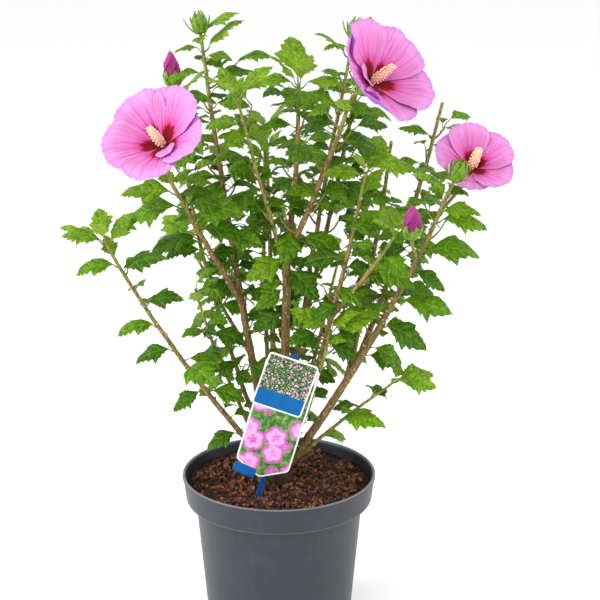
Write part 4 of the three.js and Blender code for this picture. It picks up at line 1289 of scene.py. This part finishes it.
def draw_stem(stem, index):
    """Draws a stem, thicker at its foot and at each knot, with the small buds at its knots."""
    length = length_of(stem)
    path = growth_path(stem)
    knots = [0.09 + k * NODE_GAP / length for k in range(int(0.88 * length / NODE_GAP))]
    knot_length, flare_length = 2.2, 9

    def thick_at(share):
        knot = sum(math.exp(-(((share - k) * length / knot_length) ** 2)) for k in knots)
        flare = math.exp(-share * length / flare_length)
        return girth(stem, share) * (1 + 0.1 * knot + 0.28 * flare)

    old_wood.draw(path, int(length / 3), thick_at, lambda share: smooth(girth(stem, share), 1.35, 3.1) * 0.75)
    random = seeded(5000 + 31 * index)
    for k, knot in enumerate(knots):
        for side in (0, 180):
            if random() < 0.75:
                turn = stem.lean + 60 + k * GOLDEN_TURN + side
                at = path(knot) + toward(turn) * (girth(stem, knot) * 0.85)
                angles = UP.rotation_difference(toward(turn, 42)).to_euler()
                scale_buds.append((at, k % 2, angles, (2.3 + 2.2 * random()) * MM))
    if stem.end == "cut":
        pale_ends.append((heart(stem, 1), along(stem, 1), stem.girth[1]))


def scale_bud_shape(name, seed):
    """A leaf-axil bud of length 1, pointed along +Z."""
    def scale(s, t):
        r = 0.3 * math.sin(math.pi * min(0.99, 0.1 + 0.9 * s)) ** 0.9 + 0.004
        return (toward(360 * t + 40 * seed) * r + UP * (s - 0.15)) / MM

    return new_object(name, woven(5, 6, scale, closed=True))


def draw_stalks():
    """The stalks of the blooms and of the side bud."""
    for bloom in BLOOMS:
        stem = BY_NAME[bloom.stem]
        base = bloom_frame(bloom)(UP * -14)
        radius = stem.girth[1] if bloom.at == 1 else 1.5
        stalk = curve_between(heart(stem, bloom.at), along(stem, bloom.at), base, toward(*bloom.faces))
        new_wood.draw(stalk, 10, lambda s: radius + 0.5 * s * s, lambda s: 0.12 * (1 - s))
    start = heart(SIDE_STEM, SIDE_BUD["at"])
    stalk = curve_between(start, along(SIDE_STEM, SIDE_BUD["at"]), SIDE_BASE, SIDE_WAY)
    new_wood.draw(stalk, 8, lambda s: 1.2 + 0.8 * s**3, lambda s: 0.1)


def make_stool():
    """The low woody foot that all stems rise from, with bark ridges drawn upright over its flare."""
    height, flare, waist = STOOL["height"], STOOL["flare"] - 5, STOOL["waist"] - 2
    profile = eased([(0, -3, 0), (flare, -3, 1), (flare - 1, 1, 2), (waist + 2, 7, 4), (waist, 14, 4),
                     (waist - 1, 20, 3), (waist - 5, height, 3), (0, height + 1.5, 0)], 5)
    points, faces, _ = lathe(profile, 72)
    for p in points:
        turn = math.atan2(p.y, p.x)
        k = 1 + 0.07 * math.sin(3 * turn + 0.6) + 0.05 * math.sin(5 * turn)
        k += 0.055 * noise.fractal(Vector((p.x / 3.4, p.y / 3.4, p.z / 13)), 1.0, 2.0, 3)
        p.x, p.y, p.z = p.x * k, p.y * k, p.z + SOIL_TOP
    made = mended(new_object("stool_bark", (points, faces), "bark"))
    ages = [0.9] * len(made.data.vertices)
    made.data.attributes.new("age", "FLOAT", "POINT").data.foreach_set("value", ages)
    return settle(made, "bark", "stool")


def make_pruned_ends():
    """The flat pale faces where tall stems were cut back."""
    ends = []
    for spot, way, radius in pale_ends:
        profile = [(0, -1, 0), (radius * 0.97, -1, 0), (radius * 0.97, 0.45, 0.2), (radius * 0.3, 0.55, 0.1),
                   (0, 0.35, 0)]
        ends.append(moved(lathe(eased(profile, 2), 20), facing(spot, way)))
    nodes = ["foliage_" + stem.name for stem in LEAFY if stem.end == "cut"]
    return settle(mended(new_object("pruned_ends", joined(ends), "cut_wood")), "bark", *nodes)


# ---- places taken, and leaves
room = Room()
greens = defaultdict(list)
SIDE_STEM = BY_NAME[SIDE_BUD["stem"]]
SIDE_BASE = polar(*SIDE_BUD["place"])
SIDE_WAY = ((SIDE_BASE - heart(SIDE_STEM, SIDE_BUD["at"])).normalized() + UP).normalized()


def label_place(piece, x, y, z):
    """A place on one of the label's pieces, given in that piece's own frame."""
    own = Matrix.Rotation(math.radians(piece.get("twist", 0)), 3, "Y") @ Vector((x, 0, z))
    own += Vector((piece.get("x", 0), y, piece.get("z", 0)))
    foot = Vector((*LABEL["foot"], SOIL_TOP))
    return Matrix.Rotation(math.radians(LABEL["lean"]), 3, "Y") @ own + foot


def take_places():
    """Takes the room of stems, blooms and buds, and of the label with the sight of it, before any leaf."""
    for stem in STEMS:
        steps = int(length_of(stem) / 3.2) // 2
        room.take([heart(stem, i / steps) for i in range(steps + 1)], CLEAR["stem"])
        if stem.end in BUD:
            length = BUD[stem.end]["length"]
            room.take([heart(stem, 1) + along(stem, 1) * (length * k / 3) for k in range(4)], CLEAR["bud"])
    for bloom in BLOOMS:
        room.take(petal_points(bloom), CLEAR["bloom"])
    room.take([SIDE_BASE + UP * (11 * k) for k in range(4)], CLEAR["side_bud"])
    apart, depths = 7.2, (-66, -58, -50, -42, -34, -26, -18, -10, 0, 6)
    for i in range(-4, 5):
        for j in range(-9, 10):
            spots = [label_place(LABEL["card"], i * apart, y, j * apart) for y in depths]
            room.take(spots, CLEAR["label"])


def keep_gaps():
    """Takes lines of sight through the foliage's gaps, and short ones in front of the limbs."""
    for x, height in GAPS:
        middle = Vector((x, 0, SOIL_TOP + height))
        sight = (EYE - middle).normalized()
        room.take([middle + sight * (11 * k) for k in range(-15, 16)], CLEAR["gap"])
    for stem in STEMS:
        if stem.girth[0] >= 3 or stem.fork and stem.fork[0] != "back_bud":
            for i in range(int(length_of(stem) / 9)):
                spot = heart(stem, i * 9 / length_of(stem))
                sight = (EYE - spot).normalized()
                room.take([spot + sight * ahead for ahead in (11, 22, 33)], CLEAR["limb"])


def tone_of(youth, spray, pick, shaded):
    """Deals a leaf its green: young leaves are the freshest, leaves in the shaded middle get only the full
    and deep greens as painted shade, and each spray keeps mostly to one green.
    """
    if youth > 0.75:
        return "fresh" if pick < 0.7 else "bright"
    order = ["full", "deep", "full", "deep"] if shaded else ["bright", "full", "deep", "full"]
    return order[(spray + int(pick * 1.6)) % 4]


OPENNESS = 0.96  # the share of the leaves that are kept
THINNED = 0.38  # how many fewer are kept in the middle heights
TRIES = 4  # places that a leaf is tried in
SIDESTEP = 31  # degrees from one try to the next


def inner(leaf):
    """How far a leaf stands in the shaded middle of the plant, where leaves hang."""
    height = leaf.root.z - SOIL_TOP
    central = 1 - smooth(abs(leaf.root.x - 20), 70, 110)
    return smooth(height, 60, 110) * (1 - smooth(height, 230, 290)) * central


def lit(leaf):
    """The leaf rolled to face outwards and to the front, and hanging a little by its own weight."""
    outwards = Vector((leaf.root.x, leaf.root.y, 0)).normalized() * 0.5 + Vector((-0.12, -0.6, 0))
    tilt = math.degrees(math.atan((0.72 + 0.5 * inner(leaf)) * outwards.dot(toward(leaf.turn + 90))))
    high = smooth(leaf.root.z - SOIL_TOP, 70, 190)
    sag = 11 * (1 - leaf.youth) * high + 15 * inner(leaf)
    bend = (leaf.bend[0] - sag, leaf.bend[1] - sag)
    return leaf._replace(size=leaf.size * (0.92 + 0.14 * high), roll=0.7 * leaf.roll - tilt, bend=bend)


def seat(leaf, spray, pick):
    """Gives a leaf the first free place round its stem, or leaves it out; few are kept in front of stems."""
    forward = toward(leaf.turn).dot(Vector((0, -1, 0)))
    height = leaf.root.z - SOIL_TOP
    shaded = inner(leaf)
    thinned = smooth(height, 50, 90) * (1 - smooth(height, 240, 290)) * (1 - 0.8 * shaded)
    if leaf.youth < 0.7 and (forward > 0.8 and pick < 0.5 or pick > OPENNESS - THINNED * thinned):
        return False
    for step in range(TRIES):
        tried = lit(leaf._replace(turn=leaf.turn + SIDESTEP * step))
        if inside_reach(tried, *cad_box) and room.free(blade_points(tried)[1:]):
            room.take(blade_points(tried), max(4.0, 0.175 * leaf.size))
            greens[tone_of(leaf.youth, spray, pick, shaded > 0.4)].append(stood_leaf(tried, pick))
            return True
    return False


# The leaves that stems hold out clear of the rest: stem, share of it, turn, size, rise and the blade's bends
HELD_OUT = [
    ("centre_top", 0.985, 97, 50, 60, 56, 16), ("centre_top", 0.975, 190, 40, 46, 22, -30),
    ("centre_top", 0.97, 350, 40, 44, 20, -34), ("centre_top", 0.95, 230, 36, 40, 10, -50),
    ("centre_top", 0.93, 300, 36, 40, 8, -52), ("left", 0.985, 8, 36, 52, 44, 14),
    ("left", 0.985, 176, 21, 30, 8, -24), ("left", 0.955, 205, 25, 40, 24, -30),
    ("left", 0.94, 335, 25, 40, 20, -34), ("left", 0.9, 186, 32, 44, 16, -34),
    ("left", 0.885, 352, 40, 50, 26, -18), ("left", 0.83, 340, 34, 50, 26, -26),
    ("left", 0.82, 196, 40, 44, 14, -40), ("far_left", 0.99, 180, 34, 40, 18, -24),
    ("far_left", 0.97, 30, 30, 60, 52, 34), ("right", 0.93, 350, 37, 44, 20, -36),
    ("right", 0.86, 346, 42, 40, 14, -44), ("right", 0.755, 352, 50, 44, 18, -38),
    ("right", 0.7, 338, 32, 40, -4, -50), ("right", 0.655, 348, 26, 42, 8, -40),
    ("right", 0.605, 350, 46, 40, 8, -36), ("right", 0.52, 332, 43, 36, 10, -38),
    ("right", 0.45, 350, 34, 34, 0, -46), ("right", 0.42, 330, 32, 34, 6, -40),
    ("centre_top", 0.16, 262, 36, 16, -30, -56), ("centre", 0.94, 322, 38, 24, -14, -44),
    ("upper_bloom", 0.15, 345, 36, 20, 6, -30), ("centre", 0.98, 212, 38, 20, 0, -42),
    ("centre", 0.85, 205, 30, 20, -10, -44), ("centre", 0.74, 212, 32, 16, 0, -40),
    ("centre", 0.76, 330, 30, 20, -6, -44), ("inner_right", 0.18, 200, 28, 20, 0, -44),
    ("left_bloom", 0.86, 184, 44, 34, 12, -30), ("left_bloom", 0.76, 186, 50, 34, 4, -50),
    ("far_left", 0.86, 325, 42, 66, 44, -4), ("far_left", 0.89, 194, 36, 40, 12, -44),
    ("left_bloom", 0.5, 190, 34, 34, 6, -36),
    ("far_left", 0.37, 204, 34, 24, -14, -40), ("far_left", 0.73, 338, 34, 54, 32, -16),
    ("centre_top", 0.74, 190, 32, 34, 12, -30), ("low_right", 0.98, 352, 42, 40, 18, -30),
    ("low_right", 0.72, 170, 26, 30, 4, -36), ("low_left", 0.62, 300, 26, 30, -14, -46),
    ("low_front", 0.9, 350, 28, 30, 0, -44), ("thin_left", 0.6, 188, 34, 36, 8, -34),
    ("far_left", 0.24, 30, 34, 40, 8, -40), ("far_left", 0.17, 212, 38, 34, 0, -50),
    ("back_bud", 0.97, 200, 24, 44, 24, -24),
    ("thin_left", 0.95, 190, 32, 40, 10, -44), ("thin_left", 0.96, 350, 36, 44, 16, -36),
    ("right_back", 0.9, 200, 34, 44, 18, -36), ("right_tall", 0.86, 190, 30, 50, 30, -10),
    ("right_tall", 0.76, 188, 34, 40, 10, -44), ("far_left", 0.64, 206, 36, 40, 16, -34),
    ("far_left", 0.54, 204, 36, 36, 8, -40),
    ("centre_right", 1.0, 350, 40, 44, 20, -34), ("centre_right", 0.98, 200, 34, 44, 24, -26),
]


def hold_out_leaves():
    for k, (name, share, turn, size, rise, *bend) in enumerate(HELD_OUT):
        youth = 0.8 if share > 0.96 else 0.7
        seat(Leaf(heart(BY_NAME[name], share), turn, size, rise, bend, 0, youth), k, (k % 3) * 0.3)


def seat_leaves(stem, index):
    """Seats the leaves of the CAD's rule, from the tip down."""
    random = seeded(8000 + index)
    for k, leaf in reversed(list(enumerate(leaves_of(stem, index)))):
        seat(leaf, index + k // 6, random())


# The leaves of a side shoot: turn from the shoot's own, and share of the shoot's length
SHOOT_LEAVES = ((0, 1.0), (66, 0.72), (-62, 0.5), (150, 0.86))


def grow_shoots(stem, index):
    """Short side shoots, finer than the solids hold: each stands in a leaf's axil, carries up to four small
    leaves and ends at the furthest of them."""
    random = seeded(9000 + 17 * index)
    first, last = (0.1 if stem.fork else 0.2), 0.9
    count = int((last - first) * length_of(stem) / 21)
    for k in range(count):
        turn = stem.lean + 205 + k * GOLDEN_TURN + 30 * random()
        size = 14 + 16 * random()
        root = heart(stem, first + (last - first) * (k + 0.5) / count)
        if root.z < SOIL_TOP + 60 + 60 * (k % 2):
            continue
        tip = root + toward(turn, 46) * size
        reached = 0
        for j, (aside, back) in enumerate(SHOOT_LEAVES):
            small = (22 + 16 * random()) * (1.0 if j == 0 else 0.8)
            bend = (8 + 30 * random(), -40 + 36 * random())
            rise, roll = 34 + 16 * random(), 30 * (random() - 0.5)
            leaf = Leaf(root.lerp(tip, back), turn + aside, small, rise, bend, roll, 0.5)
            if seat(leaf, index + k, random()):
                reached = max(reached, back)
        if reached:
            sag = curve_between(root, toward(turn, 20), root.lerp(tip, reached), toward(turn, 62))
            new_wood.draw(sag, 6, lambda s: 1.15 - 0.5 * s, lambda s: 0.25 * (1 - s))


# ---- plant label
def outline_of(piece):
    """A label piece's outline in its own frame, its corners rounded, with a pointed foot if it has one."""
    half, high, point = piece["width"] / 2, piece["height"] / 2, piece["point"]
    corners = [(half, -high), (half, high), (-half, high), (-half, -high)]
    if point:
        corners.append((0, -high - point))
    ease = piece["corner"]
    outline = []
    for k, corner in enumerate(corners):
        here = Vector(corner)
        before = (Vector(corners[k - 1]) - here).normalized()
        after = (Vector(corners[(k + 1) % len(corners)]) - here).normalized()
        for i in range(7):
            t = i / 6
            outline.append(here + before * ease * (1 - t) ** 2 + after * ease * t * t)
    return outline


def make_plate(name, piece, back, border, inks, node, slot):
    """A label plate: a board whose face carries a printed field inside a plain border. inks is a list of
    (finish, lowest height of its band in the piece's own frame), from the top band down."""
    outline = outline_of(piece)
    thickness = LABEL["thickness"]
    work = bmesh.new()
    face = work.faces.new([work.verts.new((p.x, -thickness, p.y)) for p in outline])
    face.normal_update()
    if face.normal.y > 0:
        face.normal_flip()
    rim = bmesh.ops.extrude_face_region(work, geom=[face])
    behind = [v for v in rim["geom"] if isinstance(v, bmesh.types.BMVert)]
    bmesh.ops.translate(work, verts=behind, vec=(0, thickness, 0))
    bmesh.ops.recalc_face_normals(work, faces=work.faces)
    work.faces.ensure_lookup_table()
    shown = min((f for f in work.faces if len(f.verts) > 4), key=lambda f: f.calc_center_median().y)
    bmesh.ops.inset_region(work, faces=[shown], thickness=border, use_even_offset=True)
    shown.material_index = 1
    for _, low in inks[:-1]:
        field = [f for f in work.faces if f.material_index]
        cut = set(field) | {e for f in field for e in f.edges} | {v for f in field for v in f.verts}
        bmesh.ops.bisect_plane(work, geom=list(cut), plane_co=(0, 0, low), plane_no=(0, 0, 1))
    chart = work.loops.layers.uv.new("UVMap")
    for f in work.faces:
        centre = f.calc_center_median()
        if f.material_index:
            f.material_index = 1 + next(k for k, (_, low) in enumerate(inks) if centre.z > low)
        for loop in f.loops:
            loop[chart].uv = (loop.vert.co.x / 10, loop.vert.co.z / 10)
    for v in work.verts:
        v.co = label_place(piece, v.co.x, back + v.co.y, v.co.z) * MM
    made = from_bmesh(name, work)
    for finish in ["board" if slot == "label_card" else "stake_blue", *(ink for ink, _ in inks)]:
        made.data.materials.append(FINISH[finish])
    return settle(made, slot, node)


def make_label():
    card, front, tab, stake = (LABEL[name] for name in ("card", "front", "tab", "stake"))
    gap, bottom = 0.3, -200  # between plates; a height below every plate
    card_back = -stake["depth"] / 2 - gap
    front_back = card_back - LABEL["thickness"] - gap
    inks = [("blossom_print", bottom)]
    make_plate("label_back_card", card, card_back, 1.5, inks, "label_card", "label_card")
    inks = [("garden_print", -9.5), ("ink_blue", bottom)]
    make_plate("label_front_card", front, front_back, 1.5, inks, "label_front", "label_card")
    make_plate("label_small_plate", tab, front_back, 0.8, [("ink_blue", bottom)], "label_tab", "label_blue")
    half, deep = 0.42 * stake["width"], stake["depth"] / 2
    ribbed = [(-half, -deep), (-half + 0.9, -deep), (-half + 1.2, -0.3), (-0.7, -0.3), (-0.4, -deep),
              (0.4, -deep), (0.7, -0.3), (half - 1.2, -0.3), (half - 0.9, -deep), (half, -deep),
              (half, deep), (-half, deep)]
    levels = [(-stake["buried"], 0.15), (-stake["buried"] + 14, 1), (0, 1), (60, 1), (stake["top"] - 0.4, 1),
              (stake["top"], 0.9)]
    points = [label_place({}, x * narrow, y, z) for z, narrow in levels for x, y in ribbed]
    sides = len(ribbed)
    caps = [tuple(reversed(range(sides))), tuple(range(len(points) - sides, len(points)))]
    stake_surface = (points, caps + bands(len(levels), sides))
    made = mended(new_object("label_stake_ribbed", stake_surface, "stake_blue", smooth_shaded=False))
    settle(made, "label_blue", "label_stake")


# ---- the plant, grown and built
take_places()
for index, stem in enumerate(STEMS):
    draw_stem(stem, index)
hold_out_leaves()
keep_gaps()
for index, stem in enumerate(LEAFY):
    seat_leaves(stem, index)
for index, stem in enumerate(STEMS):
    if stem.reach <= 0.62 * stem.height:  # stems that lean far out carry single leaves alone
        grow_shoots(stem, index)
draw_stalks()

make_pot()
make_soil()
make_stool()
bough_nodes = ["bough_" + stem.name for stem in STEMS]
foliage_nodes = ["foliage_" + stem.name for stem in LEAFY]
settle(old_wood.grow("stems_bark", 12, 2.2, 0.2), "bark", *bough_nodes, *foliage_nodes)
settle(new_wood.grow("shoots_green", 6, 2.0, 0.08), "bark", *foliage_nodes)
LEAVES = shape_set(leaf_shape, len(DROPS) * len(CURLS) * CUTS)
for tone in sorted(greens):
    settle(dealt("leaves_" + tone, tone, greens[tone], LEAVES), "leaf", *foliage_nodes)
cleared(LEAVES)
SCALES = shape_set(scale_bud_shape, 2)
settle(dealt("axil_buds", "bud_scale", scale_buds, SCALES), "leaf", *foliage_nodes)
cleared(SCALES)
ANTHERS = shape_set(anther_shape, 2)
for bloom in BLOOMS:
    for make in (make_petals, make_column, make_calyx):
        make(bloom, bloom_frame(bloom))
cleared(ANTHERS)
for stem in LEAFY:
    if stem.end in BUD:
        make_bud(stem.name, stem.end, heart(stem, 1), along(stem, 1), "foliage_" + stem.name)
make_bud("side", SIDE_BUD["kind"], SIDE_BASE, SIDE_WAY, "foliage_" + SIDE_BUD["stem"])
make_pruned_ends()
make_label()


# ---- floor, light and camera
def make_stage():
    """A pale floor that runs far back, under an even white sky."""
    plain = new_material("studio_floor", Roughness=0.85, Base_Color=linear("#fbfbfb"))[0]
    mesh = bpy.data.meshes.new("floor")
    mesh.from_pydata([(-14, -6, 0), (14, -6, 0), (14, 30, 0), (-14, 30, 0)], [], [(0, 1, 2, 3)])
    mesh.materials.append(plain)
    made = placed("floor", mesh)
    world = bpy.data.worlds.new("studio")
    world.use_nodes = True
    sky = world.node_tree.nodes["Background"].inputs
    sky["Color"].default_value = (1, 1, 1, 1)
    sky["Strength"].default_value = 1.0
    bpy.context.scene.world = world


def softbox(name, place, aim, size, power):
    light = bpy.data.lights.new(name, "AREA")
    light.shape, light.size, light.energy = "DISK", size, power
    made = placed(name, light)
    made.location = place
    made.rotation_euler = (Vector(aim) - Vector(place)).to_track_quat("-Z", "Y").to_euler()


make_stage()
softbox("left_softbox", (-1.7, -0.5, 1.3), (0, 0, 0.3), 1.2, 30)
softbox("right_softbox", (1.8, -0.3, 1.0), (0, 0, 0.3), 1.2, 14)
softbox("front_softbox", (-0.5, -1.9, 1.9), (0, 0, 0.4), 1.0, 14)
bpy.context.scene.view_settings.view_transform = "Standard"

EYE_DOWN = 16.84  # degrees below the level
camera = placed("camera", bpy.data.cameras.new("camera"))
camera.data.lens = 100
camera.data.sensor_width = 36
camera.location = EYE * MM
camera.rotation_euler = Euler((math.radians(90 - EYE_DOWN), 0, 0))
bpy.context.scene.camera = camera
